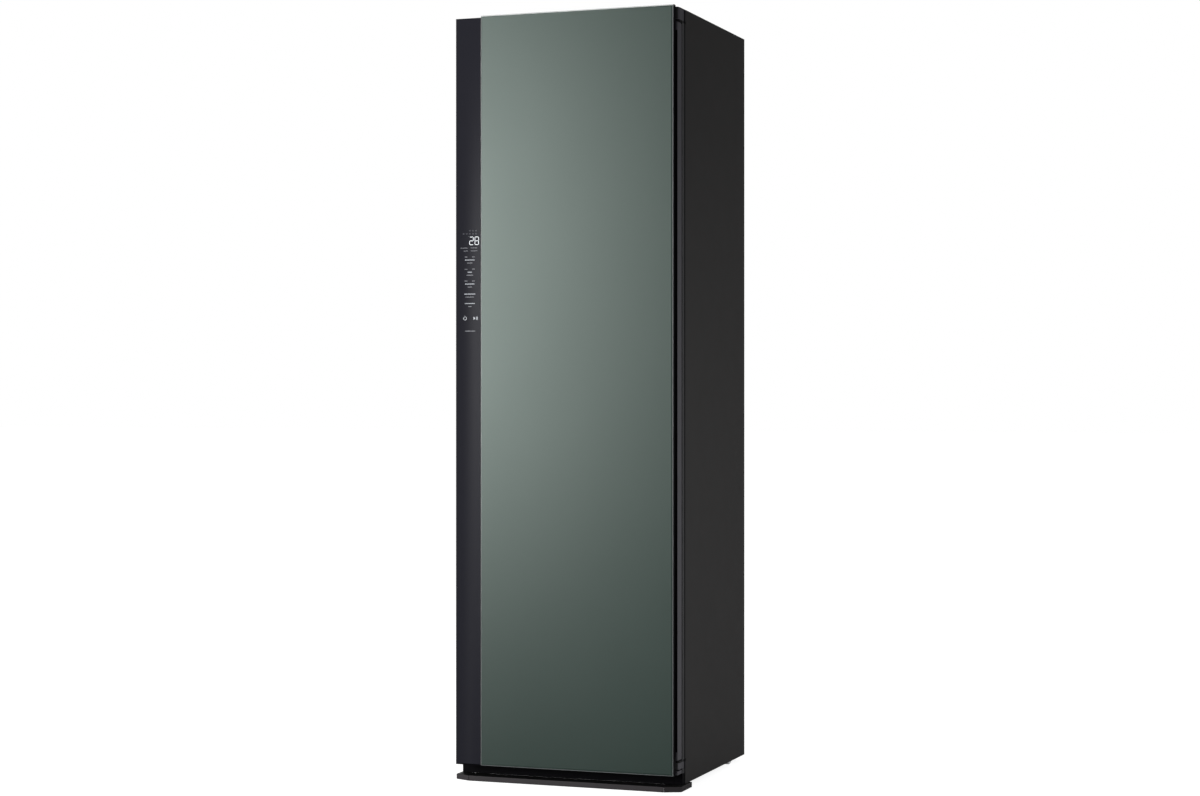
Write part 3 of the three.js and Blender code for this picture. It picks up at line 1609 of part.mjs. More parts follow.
// A blower that pushes air up through the outlet in the compartment floor
function blower(root) {
  const top = tubFloor - tubWall - seat;
  const y = [back(scrollFront), back(blowerBack)];
  const drum = (inset, [y0, y1], high) => join(
    rod(scrollRadius - inset, [-scrollShift, y0, blowerZ], [-scrollShift, y1, blowerZ], 28),
    block([-throatWidth / 2 + inset, throatWidth / 2 - inset], [y0, y1], [blowerZ, high]),
  );
  const axis = (depth) => [0, back(depth), blowerZ];
  const motorEnd = blowerBack + blowerMotorLength;
  const plate = impellerGap + scrollWall;
  const housing = join(
    cut(
      drum(0, y, top),
      drum(scrollWall, [y[0] + scrollWall, y[1] - scrollWall], top + overrun),
      rod(inletRadius, axis(scrollFront - overrun), axis(scrollFront + scrollWall + overrun), 20),
    ),
    rod(blowerMotorRadius, axis(blowerBack - scrollWall), axis(motorEnd), 20),
    rod(blowerShaft, axis(scrollFront + plate), axis(motorEnd - overrun), 12),
  );
  piece(root, "blower_housing", housing, finishes.liner);

  const length = scrollThickness - plate * 2;
  const blade = block(
    [impellerInner, impellerRadius - impellerBlade / 2],
    [-impellerBlade / 2, impellerBlade / 2],
    [impellerPlate / 2, length - impellerPlate / 2],
  );
  const bore = blowerShaft + pinClearance;
  const wheel = join(
    turned([
      [bore, 0],
      [impellerRadius, 0],
      [impellerRadius, impellerPlate],
      [impellerHub, impellerPlate],
      [impellerHub, length / 2],
      [bore, length / 2],
      [bore, 0],
    ], 20),
    turned([
      [impellerInner, length - impellerPlate],
      [impellerRadius, length - impellerPlate],
      [impellerRadius, length],
      [impellerInner, length],
      [impellerInner, length - impellerPlate],
    ], 20),
    ...Array.from({ length: impellerBlades }, (_, i) => blade.rotate([0, 0, 360 * i / impellerBlades])),
  );
  const mesh = piece(root, "blower_wheel", wheel, finishes.palePlastic);
  mesh.rotation.x = Math.PI / 2;
  mesh.position.set(...axis(blowerBack - plate));
}

function steamGenerator(root) {
  const y = [back(generatorPlace), back(generatorPlace + generatorDepthSize)];
  const x = [nozzleX - generatorWidth / 2, nozzleX + generatorWidth / 2];
  const high = machineFloor + generatorHeight;
  const middle = (y[0] + y[1]) / 2;
  const spoutTop = high + spoutHeight;
  const tank = join(
    raise(roundedRect(x, y, generatorRadius), [machineFloor, high], 5),
    rod(spoutRadius, [nozzleX, middle, high - overrun], [nozzleX, middle, spoutTop], 16),
  );
  piece(root, "steam_generator", tank, finishes.palePlastic);

  const z = tubFloor + nozzleLift;
  const start = back(tubBack + nozzleTail + seat);
  const at = (b, c) => new THREE.Vector3(nozzleX, b, c);
  const route = new THREE.CurvePath();
  route.add(new THREE.LineCurve3(at(start, z), at(middle - hoseBend, z)));
  const turn = [at(middle - hoseBend, z), at(middle, z), at(middle, z - hoseBend)];
  route.add(new THREE.QuadraticBezierCurve3(...turn));
  route.add(new THREE.LineCurve3(at(middle, z - hoseBend), at(middle, spoutTop + seat)));
  const section = new THREE.Shape();
  section.absarc(0, 0, hoseRadius, 0, Math.PI * 2, false);
  const geometry = new THREE.ExtrudeGeometry(section, { extrudePath: route, steps: 18, curveSegments: 4 });
  piece(root, "steam_hose", solidFrom(geometry), finishes.seal);
}

function controlBox(root) {
  const left = -halfCase + sheet + seat + boxInset;
  const x = [left, left + boxWidth];
  const y = [back(boxPlace), back(boxPlace + boxDepthSize)];
  const high = machineFloor + boxHeight;
  const ribs = [1, 2, 3].map((i) => block(
    [x[0] + boxRib, x[1] - boxRib],
    [y[0] + boxDepthSize * i / 4 - boxRib / 2, y[0] + boxDepthSize * i / 4 + boxRib / 2],
    [high - boxRib, high + boxRib],
  ));
  const box = join(raise(roundedRect(x, y, boxRib), [machineFloor, high], 3), ...ribs);
  piece(root, "control_box", box, finishes.palePlastic);
}

const cabinet = new THREE.Group();
const door = new THREE.Group();
cabinet.add(door);
doorFront(door);
doorBody(door);
trouserPress(door);
hinges(cabinet);
casePanels(cabinet);
cordGland(cabinet);
frameAndPlinth(cabinet);
baseStrip(cabinet);
basePan(cabinet);
rollersAndFeet(cabinet);
innerTub(cabinet);
tubFittings(cabinet);
floorKits(cabinet);
shelf(cabinet);
tankBay(cabinet);
tank(cabinet, -1, "supply", finishes.smoke);
tank(cabinet, 1, "drain", finishes.smoke);
hangerDrive(cabinet);
heatExchanger(cabinet);
compressor(cabinet);
blower(cabinet);
steamGenerator(cabinet);
controlBox(cabinet);

export default cabinet;
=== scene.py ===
# Clothes care steam cabinet: the finishes and the small parts, in metres.

import math

import bmesh
import bpy
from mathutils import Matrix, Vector


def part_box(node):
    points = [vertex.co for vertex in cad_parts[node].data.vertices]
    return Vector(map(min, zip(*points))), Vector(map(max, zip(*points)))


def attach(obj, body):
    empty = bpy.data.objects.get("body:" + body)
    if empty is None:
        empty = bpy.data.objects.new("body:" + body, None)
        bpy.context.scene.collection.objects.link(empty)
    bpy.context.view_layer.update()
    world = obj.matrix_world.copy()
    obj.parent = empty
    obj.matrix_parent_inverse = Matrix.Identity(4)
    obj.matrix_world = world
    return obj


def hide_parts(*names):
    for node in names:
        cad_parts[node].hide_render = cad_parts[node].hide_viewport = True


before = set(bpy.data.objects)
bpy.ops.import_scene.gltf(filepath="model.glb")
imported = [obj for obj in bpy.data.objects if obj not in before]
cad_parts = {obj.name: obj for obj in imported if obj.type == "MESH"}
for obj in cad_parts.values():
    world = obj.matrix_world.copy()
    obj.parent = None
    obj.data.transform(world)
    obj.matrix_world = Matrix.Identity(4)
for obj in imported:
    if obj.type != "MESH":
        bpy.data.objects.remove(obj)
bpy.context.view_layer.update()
MM = 0.001

# The camera, from the photograph's perspective
CAMERA_PLACE = (2.119, -5.829, 0.983)
CAMERA_TURN = math.radians(20.06)
CAMERA_LENS = 70.4
CAMERA_SENSOR = 36
CAMERA_REACH = 200

# The lamps: place, aim, size and watts
LAMPS = {
    "left_softbox": ((-3.84, -4.7, 1.66), (-0.2, -0.3, 1.2), (4.0, 2.54), 447),
    "right_fill": ((1.8, 0.6, 0.7), (0.3, 0.35, 0.7), (1.0, 1.4), 13),
    "overhead_box": ((-1.6, -4.6, 5.0), (0, -0.3, 1.9), (1.5, 1.5), 60),
}

# The studio: its even light, and how its dark sides, its white end and its ceiling look in a mirror
AMBIENT = 0.4
DARK_SIDE = 0.1
BACKDROP_SHARES = [0.86, 0.95]
CEILING_SHARES = [0.2, 0.9]
CEILING_LEVEL = 0.5

# The floor: half its side, its shade, and how bright it is of itself where the camera looks
FLOOR_HALF = 60
FLOOR_SHADE = 0.45
FLOOR_GLOW = 0.85

# The panel's coat and gloss, and the control strip's: its two edges, and the heights its gloss runs between
GLASS_DARK = (0.002, 0.0105, 0.0075, 1)
GLASS_LIGHT = (0.004, 0.0135, 0.0105, 1)
GLASS_ROUGHNESS = [0.325, 0.345]
GLASS_TINT = (0.87, 1.0, 0.93, 1)
GLASS_IOR = 1.53
STRIP_X = [-0.2955, -0.226]
STRIP_HEIGHTS = [2.1, 1.2]
STRIP_ROUGHNESS = [0.72, 0.33]

# How much light the clear plastics let through, and how they bend it
CLEAR_SHARE = 0.75
CLEAR_IOR = 1.49

# The lint screen's thread spacing, and the size of the zinc's crystals, in crystals to the metre
SCREEN_PITCH = 1.2 * MM
CRYSTALS = 160.0

# Where the painted shade begins and where it is full, as shares of a face's direction: forward on the hinge
# covers' nose and upward on the base strip's top
NOSE_SHADE_SHARES = [-0.56, -0.64]
TOP_SHADE_SHARES = [0.75, 0.95]

# How deep the grain of each kind of surface is
POLISHED = 0.02 * MM
SMOOTH = 0.04 * MM
COATED = 0.05 * MM
PAINTED = 0.06 * MM
LINED = 0.08 * MM
MOULDED = 0.1 * MM
POWDERED = 0.12 * MM
SPRAYED = 0.2 * MM
WOVEN = 0.3 * MM
FELTED = 0.4 * MM
SPANGLED = 0.5 * MM

# How a grain shows: its noise's span, its swing in gloss, its relief, plain or faint, and its broad noise
NOISE_SPAN = [0.3, 0.7]
GLOSS_SWING = 0.06
RELIEF_SHARE = 0.25
FAINT_SHARE = 0.05
BROAD_SHARE = 1 / 60
BROAD_DETAIL = 2.0


def material(name):
    """A new material with its node tree and its shader."""
    made = bpy.data.materials.new(name)
    made.use_nodes = True
    tree = made.node_tree
    return made, tree, tree.nodes["Principled BSDF"]


def add(tree, kind, **settings):
    """A node of this kind. Settings that name an input set its value, others set the node itself."""
    node = tree.nodes.new("ShaderNode" + kind)
    for key, value in settings.items():
        title = key.replace("_", " ").title()
        if title in node.inputs:
            node.inputs[title].default_value = value
        else:
            setattr(node, key, value)
    return node


def connect(tree, value, socket):
    """Gives a socket a value, or links another node's output to it."""
    if isinstance(value, bpy.types.NodeSocket):
        tree.links.new(value, socket)
    else:
        socket.default_value = value


def srgb(red, green, blue):
    """A colour given as it looks on a screen, 0 to 255, as linear values."""
    def linear(value):
        share = value / 255
        return share / 12.92 if share <= 0.04045 else ((share + 0.055) / 1.055) ** 2.4
    return linear(red), linear(green), linear(blue), 1.0


def place_texture(tree, scale=(1, 1, 1)):
    """The object's own coordinates, scaled along each axis."""
    coordinates = add(tree, "TexCoord")
    mapping = add(tree, "Mapping")
    mapping.inputs["Scale"].default_value = scale
    tree.links.new(coordinates.outputs["Object"], mapping.inputs["Vector"])
    return mapping.outputs["Vector"]


def noise(tree, vector, scale, detail=3.0, roughness=0.5):
    """Noise of a number of grains to the metre."""
    node = add(tree, "TexNoise", scale=scale, detail=detail, roughness=roughness)
    tree.links.new(vector, node.inputs["Vector"])
    return node.outputs["Fac"]


def spread(tree, value, low, high):
    """Noise spread between two numbers."""
    node = add(tree, "MapRange")
    for title, number in zip(("From Min", "From Max", "To Min", "To Max"), (*NOISE_SPAN, low, high)):
        node.inputs[title].default_value = number
    tree.links.new(value, node.inputs["Value"])
    return node.outputs["Result"]


def ramp(tree, value, start, end, low, high):
    """A number that runs from low at start to high at end, and stays there beyond them."""
    node = add(tree, "MapRange", interpolation_type="SMOOTHSTEP")
    for title, number in zip(("From Min", "From Max", "To Min", "To Max"), (start, end, low, high)):
        node.inputs[title].default_value = number
    tree.links.new(value, node.inputs["Value"])
    return node.outputs["Result"]


def calculated(tree, operation, *values):
    """Numbers put together, each a value or another node's output."""
    node = add(tree, "Math", operation=operation)
    for socket, value in zip(node.inputs, values):
        connect(tree, value, socket)
    return node.outputs["Value"]


def mixed(tree, kind, share, first, second):
    """Two colours or numbers mixed, each a value or another node's output."""
    node = add(tree, "Mix", data_type=kind)
    for title, value in (("Factor", share), ("A", first), ("B", second)):
        connect(tree, value, node.inputs[title])
    return node.outputs["Result"]


def along(tree, vector, axis):
    """How far a place or a direction reaches along one axis."""
    parts = add(tree, "SeparateXYZ")
    tree.links.new(vector, parts.inputs["Vector"])
    return parts.outputs[axis]


def bump(tree, shader, height, strength, distance):
    """Gives the shader a relief of this depth."""
    node = add(tree, "Bump", strength=strength, distance=distance)
    tree.links.new(height, node.inputs["Height"])
    tree.links.new(node.outputs["Normal"], shader.inputs["Normal"])


def grained(name, dark, light, roughness, grain, depth, metallic=0.0, specular=0.5, stretch=(1, 1, 1)):
    """A surface with a fine grain in its colour, its gloss and its relief."""
    made, tree, shader = material(name)
    vector = place_texture(tree, stretch)
    fine = noise(tree, vector, grain)
    broad = noise(tree, vector, grain * BROAD_SHARE, detail=BROAD_DETAIL)
    tree.links.new(mixed(tree, "RGBA", broad, dark, light), shader.inputs["Base Color"])
    gloss = spread(tree, fine, roughness - GLOSS_SWING, roughness + GLOSS_SWING)
    tree.links.new(gloss, shader.inputs["Roughness"])
    shader.inputs["Metallic"].default_value = metallic
    shader.inputs["Specular IOR Level"].default_value = specular
    bump(tree, shader, fine, RELIEF_SHARE, depth)
    return made


def with_painted_shade(made, colour, axis, shares):
    """The same surface with painted shade: another colour on the faces that look one way along an axis."""
    tree = made.node_tree
    socket = tree.nodes["Principled BSDF"].inputs["Base Color"]
    plain = socket.links[0].from_socket
    facing = add(tree, "TexCoord")
    share = ramp(tree, along(tree, facing.outputs["Normal"], axis), *shares, 0, 1)
    tree.links.new(mixed(tree, "RGBA", share, plain, colour), socket)
    return made


def satin_glass():
    """Etched glass over a dark green coat, which mostly mirrors the room softly."""
    made, tree, shader = material("satin_glass")
    vector = place_texture(tree)
    etch = noise(tree, vector, 900, detail=4.0, roughness=0.7)
    cloud = noise(tree, vector, 3.0, detail=BROAD_DETAIL)
    tree.links.new(mixed(tree, "RGBA", etch, GLASS_DARK, GLASS_LIGHT), shader.inputs["Base Color"])
    tree.links.new(spread(tree, cloud, *GLASS_ROUGHNESS), shader.inputs["Roughness"])
    shader.inputs["IOR"].default_value = GLASS_IOR
    shader.inputs["Specular Tint"].default_value = GLASS_TINT
    bump(tree, shader, etch, FAINT_SHARE, MOULDED)
    return made


def strip_glass():
    """Dark printed glass, smoother towards the panel and down the door."""
    made, tree, shader = material("strip_glass")
    vector = place_texture(tree)
    fine = noise(tree, vector, 1500)
    coat = mixed(tree, "RGBA", fine, srgb(21, 21, 28), srgb(24, 24, 31))
    tree.links.new(coat, shader.inputs["Base Color"])
    across = ramp(tree, along(tree, vector, "X"), *STRIP_X, 0, 1)
    down = ramp(tree, along(tree, vector, "Z"), *STRIP_HEIGHTS, 0, 1)
    gloss = calculated(tree, "MULTIPLY", across, down)
    tree.links.new(ramp(tree, gloss, 0, 1, *STRIP_ROUGHNESS), shader.inputs["Roughness"])
    shader.inputs["Specular IOR Level"].default_value = 0.08
    bump(tree, shader, fine, FAINT_SHARE, POLISHED)
    return made


def clear_plastic(name, tint, roughness):
    """Tinted plastic that lets most light through."""
    made, tree, shader = material(name)
    fine = noise(tree, place_texture(tree), 600)
    tree.links.new(spread(tree, fine, roughness, roughness + GLOSS_SWING), shader.inputs["Roughness"])
    shader.inputs["Base Color"].default_value = tint
    shader.inputs["Transmission Weight"].default_value = CLEAR_SHARE
    shader.inputs["IOR"].default_value = CLEAR_IOR
    return made


def lit(name, colour, strength):
    """A mark that shines through the glass a little unevenly."""
    made, tree, shader = material(name)
    uneven = noise(tree, place_texture(tree), 700)
    tree.links.new(mixed(tree, "RGBA", uneven, colour, srgb(255, 255, 255)), shader.inputs["Emission Color"])
    shader.inputs["Emission Strength"].default_value = strength
    shader.inputs["Base Color"].default_value = colour
    shader.inputs["Roughness"].default_value = 0.4
    return made


def woven_screen():
    """A fine metal weave: two sets of threads, bright over dark gaps."""
    made, tree, shader = material("woven_screen")
    vector = place_texture(tree)
    threads = []
    for axis in ("X", "Y"):
        phase = calculated(tree, "MULTIPLY", along(tree, vector, axis), 2 * math.pi / SCREEN_PITCH)
        threads.append(calculated(tree, "SINE", phase))
    height = calculated(tree, "MAXIMUM", *threads)
    shade = ramp(tree, height, 0.0, 0.8, 0.0, 1.0)
    colour = mixed(tree, "RGBA", shade, srgb(40, 41, 43), srgb(150, 152, 154))
    tree.links.new(colour, shader.inputs["Base Color"])
    shader.inputs["Metallic"].default_value = 0.6
    shader.inputs["Roughness"].default_value = 0.4
    bump(tree, shader, height, 0.5, WOVEN)
    return made


def galvanised():
    """Zinc-coated sheet with its faint crystal pattern."""
    made, tree, shader = material("galvanised_sheet")
    vector = place_texture(tree)
    crystals = add(tree, "TexVoronoi", scale=CRYSTALS)
    tree.links.new(vector, crystals.inputs["Vector"])
    wash = noise(tree, vector, 40)
    level = calculated(tree, "MULTIPLY_ADD", crystals.outputs["Color"], 0.7, wash)
    colour = mixed(tree, "RGBA", level, srgb(138, 142, 145), srgb(178, 182, 184))
    tree.links.new(colour, shader.inputs["Base Color"])
    tree.links.new(spread(tree, crystals.outputs["Color"], 0.38, 0.55), shader.inputs["Roughness"])
    shader.inputs["Metallic"].default_value = 0.55
    bump(tree, shader, wash, 0.1, SPANGLED)
    return made


# Each finish: its dark and light colour, its roughness, its grains to the metre and their depth. The hinge
# covers carry painted shade, black on the nose beside the panel where the notch is in shade, and the base
# strip carries painted shade, black on the faces that look up, in the door's shadow.
FINISHES = {
    "satin_glass": satin_glass(),
    "strip_glass": strip_glass(),
    "trim": grained("black_trim", srgb(3, 3, 5), srgb(6, 5, 8), 0.5, 1800, SMOOTH, specular=0.03),
    "door_paint": grained(
        "door_paint", srgb(62, 61, 67), srgb(70, 69, 75), 0.42, 1400, PAINTED, metallic=0.3),
    # Painted shade: the hinge covers turn black on the nose that faces forward, where the notch beside the
    # panel is in shade
    "cover_paint_nose_shade": with_painted_shade(
        grained("cover_paint_nose_shade", srgb(62, 61, 67), srgb(70, 69, 75), 0.42, 1400, PAINTED, metallic=0.3),
        srgb(8, 8, 10), "Y", NOSE_SHADE_SHARES),
    "case_paint": grained(
        "case_paint", srgb(39, 38, 38), srgb(44, 43, 43), 0.55, 1300, POWDERED, specular=0.12),
    # Painted shade: the base strip turns black on the faces that look up, in the shadow under the door
    "strip_plastic": with_painted_shade(
        grained("base_plastic_top_shade", srgb(38, 35, 37), srgb(46, 43, 45), 0.56, 900, MOULDED, specular=0.2),
        srgb(2, 2, 2), "Z", TOP_SHADE_SHARES),
    "edge_glint": grained(
        # Painted highlights: the pale lines round the panel stand in for the glint on the glass's polished
        # edges
        "panel_edge_glint", srgb(70, 75, 75), srgb(76, 81, 81), 0.35, 1500, POLISHED, specular=0.6),
    "side_glint": grained(
        "panel_side_glint", srgb(116, 118, 119), srgb(122, 124, 125), 0.33, 1500, POLISHED, specular=0.55),
    # Painted highlight: the pale line on the front frame's rounded edge
    "frame_glint": grained("frame_edge_glint", srgb(120, 120, 122), srgb(126, 126, 128), 0.4, 1500, POLISHED),
    "top_glint": grained("panel_top_glint", srgb(196, 202, 199), srgb(206, 212, 209), 0.3, 1500, POLISHED),
    "frame_paint": grained(
        "frame_paint", srgb(50, 50, 52), srgb(56, 56, 58), 0.5, 1300, MOULDED, specular=0.15),
    # Black painted steel, darkened to near black as painted shade where the brackets' noses show in the
    # notches
    "hinge_paint_and_shade": grained(
        "hinge_paint_and_shade", srgb(12, 12, 14), srgb(16, 16, 18), 0.5, 1100, COATED, metallic=0.2, specular=0.1),
    "liner": grained("liner_plastic", srgb(70, 71, 75), srgb(78, 79, 83), 0.5, 1200, LINED),
    "press_paint": grained(
        "press_paint", srgb(104, 106, 110), srgb(112, 114, 118), 0.42, 1400, PAINTED, metallic=0.3),
    "tub": grained("tub_plastic", srgb(84, 86, 90), srgb(92, 94, 98), 0.4, 1000, PAINTED),
    "pale": grained("pale_plastic", srgb(186, 188, 190), srgb(198, 200, 202), 0.45, 1000, PAINTED),
    "roller": grained("roller_nylon", srgb(232, 233, 235), srgb(240, 241, 242), 0.45, 900, COATED),
    "rubber": grained("seal_rubber", srgb(26, 26, 27), srgb(32, 32, 33), 0.75, 700, MOULDED, specular=0.1),
    "cable": grained("cable_rubber", srgb(20, 20, 20), srgb(26, 26, 26), 0.6, 700, MOULDED),
    "board": grained("circuit_board", srgb(20, 70, 44), srgb(26, 84, 54), 0.4, 300, COATED),
    "felt": grained(
        "felt_board", srgb(118, 114, 106), srgb(134, 130, 121), 0.95, 1600, FELTED, specular=0.1),
    "steel": grained(
        "brushed_steel", srgb(150, 152, 154), srgb(172, 174, 176), 0.32, 300, COATED,
        metallic=1.0, stretch=(1, 1, 12)),
    "aluminium": grained(
        "aluminium", srgb(176, 179, 182), srgb(196, 198, 200), 0.34, 400, SMOOTH,
        metallic=1.0, stretch=(0.1, 1, 1)),
    "wire": grained("coated_wire", srgb(196, 197, 198), srgb(206, 207, 208), 0.35, 900, COATED),
    "compressor_paint": grained("compressor_paint", srgb(24, 24, 25), srgb(32, 32, 33), 0.35, 60, SPRAYED),
    "zinc": galvanised(),
    "lit_white": lit("lit_number", srgb(205, 210, 215), 0.7),
    "lit_words": lit("lit_words", srgb(140, 145, 152), 0.12),
    "lit_small": lit("lit_small", srgb(88, 90, 98), 0.05),
    "lit_keys": lit("lit_keys", srgb(150, 154, 160), 0.12),
    "print": grained("printed_ink", srgb(214, 216, 218), srgb(226, 228, 230), 0.6, 900, POLISHED),
    "mesh": woven_screen(),
    "screw": grained(
        "plated_screw", srgb(128, 130, 133), srgb(150, 152, 155), 0.35, 500, SMOOTH, metallic=0.9),
    "lens": clear_plastic("frosted_lens", srgb(226, 229, 231), 0.4),
    "smoke": clear_plastic("smoke_plastic", srgb(170, 182, 188), 0.08),
}

NODE_FINISH = {
    "satin_glass": ["door_glass"],
    "strip_glass": ["control_strip"],
    "trim": ["door_face_frame", "plinth"],
    "door_paint": ["door_shell"],
    "cover_paint_nose_shade": ["top_hinge_cover", "bottom_hinge_cover"],
    "case_paint": ["side_panel_left", "side_panel_right", "top_panel"],
    "frame_paint": ["front_frame"],
    "hinge_paint_and_shade": ["top_hinge_bracket", "bottom_hinge_bracket"],
    "strip_plastic": ["base_strip", "base_strip_end_left", "base_strip_end_right"],
    "liner": [
        "door_liner", "tank_bay", "outlet_grille", "blower_housing", "supply_tank_lid", "drain_tank_lid"],
    "press_paint": ["press_plate"],
    "tub": ["inner_tub"],
    "pale": [
        "trouser_clip_left", "trouser_clip_right", "steam_nozzle",
        "lint_filter", "fragrance_case", "hanger_yoke", "crank_pulley", "blower_wheel",
        "steam_generator", "control_box", "supply_tank_handle", "drain_tank_handle"],
    "roller": ["roller_left", "roller_right"],
    "rubber": ["door_gasket", "levelling_foot_left", "levelling_foot_right", "drive_belt", "steam_hose"],
    "cable": ["cord_gland"],
    "board": ["display_board"],
    "felt": ["press_backing"],
    "steel": ["motor_pulley", "drive_motor"],
    "aluminium": ["hanger_rail", "heat_exchanger", "trouser_clip_bar"],
    "wire": ["shelf"],
    "compressor_paint": ["compressor"],
    "zinc": ["back_panel", "machine_cover", "base_pan", "drive_chassis"],
    "lens": ["lamp_lens"],
    "smoke": ["supply_tank", "drain_tank"],
}

# How far each solid's edges are rounded and in how many steps, and what counts as an edge and as a bend
EDGE_ROUND = 0.5 * MM
SHEET_ROUND = 0.15 * MM
STRIP_ROUND = 1.0 * MM
SHEETS = [
    "side_panel_left", "side_panel_right", "top_panel", "back_panel", "machine_cover", "front_frame"]
STRIPS = ["base_strip", "base_strip_end_left", "base_strip_end_right", "door_glass"]
ROUNDS = {**{name: SHEET_ROUND for name in SHEETS}, **{name: STRIP_ROUND for name in STRIPS}}
EDGE_STEPS = 2
EDGE_ANGLE = math.radians(32)
BEND_ANGLE = math.radians(1)
WELD_REACH = 0.005 * MM
FLAT_WEIGHT = 100


def soften(thing, width):
    """Rounds a piece's sharp edges."""
    soft = thing.modifiers.new("soft", "BEVEL")
    soft.width = width
    soft.segments = EDGE_STEPS
    soft.limit_method = "ANGLE"
    soft.angle_limit = EDGE_ANGLE
    soft.use_clamp_overlap = True


def smooth(thing):
    """Lets a piece's curves look round and its flat faces flat."""
    for polygon in thing.data.polygons:
        polygon.use_smooth = True
    level = thing.modifiers.new("level", "WEIGHTED_NORMAL")
    level.weight = FLAT_WEIGHT
    level.keep_sharp = True


def dress(name, finish):
    """Gives a solid its finish and softens its edges."""
    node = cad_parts[name]
    node.data.materials.clear()
    node.data.materials.append(FINISHES[finish])
    weld = node.modifiers.new("weld", "WELD")
    weld.merge_threshold = WELD_REACH
    flat = node.modifiers.new("flat", "DECIMATE")
    flat.decimate_type = "DISSOLVE"
    flat.angle_limit = BEND_ANGLE
    soften(node, ROUNDS.get(name, EDGE_ROUND))
    smooth(node)


def shaped(name, build, finish, body, round_edge=0.0):
    """A new piece that build draws, with its finish, its rounded edges and the body it rides on."""
    mesh = bpy.data.meshes.new(name)
    drawn = bmesh.new()
    build(drawn)
    bmesh.ops.recalc_face_normals(drawn, faces=drawn.faces)
    drawn.to_mesh(mesh)
    drawn.free()
    made = bpy.data.objects.new(name, mesh)
    bpy.context.collection.objects.link(made)
    mesh.materials.append(FINISHES[finish])
    if round_edge:
        soften(made, round_edge)
    smooth(made)
    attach(made, body)
    return made


def skin(drawn, rings, closed=False):
    """Joins rings of points into a surface, with flat ends unless it runs round to its start."""
    rows = [[drawn.verts.new(point) for point in ring] for ring in rings]
    following = rows[1:] + rows[:1] if closed else rows[1:]
    for first, second in zip(rows, following):
        for k in range(len(first)):
            m = (k + 1) % len(first)
            drawn.faces.new((first[k], first[m], second[m], second[k]))
    if not closed:
        drawn.faces.new(rows[0][::-1])
        drawn.faces.new(rows[-1])


def prism(drawn, outline, near, far):
    """A solid whose outline, in width and height, runs from one depth to another."""
    skin(drawn, [[(x, depth, z) for x, z in outline] for depth in (near, far)])


def upright(drawn, outline, low, high):
    """A solid whose outline, in width and depth, runs from one height to another."""
    skin(drawn, [[(x, y, height) for x, y in outline] for height in (low, high)])


def box_outline(first, second):
    """The four corners of a rectangle."""
    return [
        (first[0], second[0]), (first[1], second[0]), (first[1], second[1]), (first[0], second[1])]


def plate(drawn, x, z, near, far):
    """A flat block."""
    prism(drawn, box_outline(x, z), near, far)


def neighbours(points, i, closed):
    """The points before and after this one, or the point itself at an open end."""
    count = len(points)
    before = points[(i - 1) % count] if closed or i else points[i]
    after = points[(i + 1) % count] if closed or i < count - 1 else points[i]
    return before, after


def stroke(drawn, points, width, near, far, closed=False):
    """A flat line of even width along points given in width and height."""
    rings = []
    for i, (x, z) in enumerate(points):
        before, after = neighbours(points, i, closed)
        way = Vector((after[0] - before[0], after[1] - before[1])).normalized()
        side = Vector((-way.y, way.x)) * width / 2
        rings.append([
            (x + sign * side.x, depth, z + sign * side.y)
            for sign, depth in ((1, near), (-1, near), (-1, far), (1, far))])
    skin(drawn, rings, closed)


def circle(centre, side, other, radius, sides):
    """Points round a centre, in the plane of two directions."""
    angles = [2 * math.pi * k / sides for k in range(sides)]
    return [centre + (side * math.cos(a) + other * math.sin(a)) * radius for a in angles]


def tube(drawn, path, radius, sides, closed=False):
    """A round wire along a path, with flat ends unless it closes on itself."""
    points = [Vector(p) for p in path]
    rings = []
    side = None
    for i, point in enumerate(points):
        before, after = neighbours(points, i, closed)
        way = (after - before).normalized()
        if side is None:
            side = way.orthogonal().normalized()
        side = (side - way * side.dot(way)).normalized()
        rings.append(circle(point, side, way.cross(side), radius, sides))
    skin(drawn, rings, closed)


def turned(drawn, centre, axis, profile, sides):
    """A round solid: pairs of radius and height along an axis, from one closed end to the other."""
    way = Vector(axis).normalized()
    side = way.orthogonal().normalized()
    other = way.cross(side)
    skin(drawn, [
        circle(Vector(centre) + way * height, side, other, radius, sides) for radius, height in profile])


def arc(centre, radius, start, end, steps):
    """Points on an arc, its angles in degrees from the right and anticlockwise."""
    turn = [math.radians(start + (end - start) * i / steps) for i in range(steps + 1)]
    return [(centre[0] + radius * math.cos(a), centre[1] + radius * math.sin(a)) for a in turn]


def rounded(x, z, radius, steps):
    """The outline of a rectangle with round corners."""
    corners = [(x[1], z[1], 0), (x[0], z[1], 90), (x[0], z[0], 180), (x[1], z[0], 270)]
    points = []
    for a, b, turn in corners:
        centre = (a - math.copysign(radius, a - sum(x) / 2), b - math.copysign(radius, b - sum(z) / 2))
        points += arc(centre, radius, turn, turn + 90, steps)
    return points


def divided(points, longest):
    """The same closed outline with no step longer than this."""
    made = []
    for (x0, z0), (x1, z1) in zip(points, points[1:] + points[:1]):
        steps = max(1, math.ceil(math.hypot(x1 - x0, z1 - z0) / longest))
        made += [(x0 + (x1 - x0) * k / steps, z0 + (z1 - z0) * k / steps) for k in range(steps)]
    return made


# Painted highlights: pale lines round the panel for the glint on the glass's polished edges; and painted
# shade: a dark strip on the door's step beside the frame, where the groove is in shade
GLINT_WIDTH = 2.0 * MM
GLINT_RISE = 0.3 * MM
PAINTED_STRIP_GAP = 0.2 * MM
GLINT_EDGE = 0.1 * MM
GLASS_GAP = 0.075 * MM
TOP_GLINT_HEIGHT = 1.2 * MM
SIDE_GLINT_LAP = 0.85 * MM
SIDE_GLINT_SINK = 0.03 * MM
STEP_SHADE_RISE = 0.6 * MM
STEP_SHADE_END_GAP = 4 * MM
STEP_SHADE_EDGE = 0.25 * MM


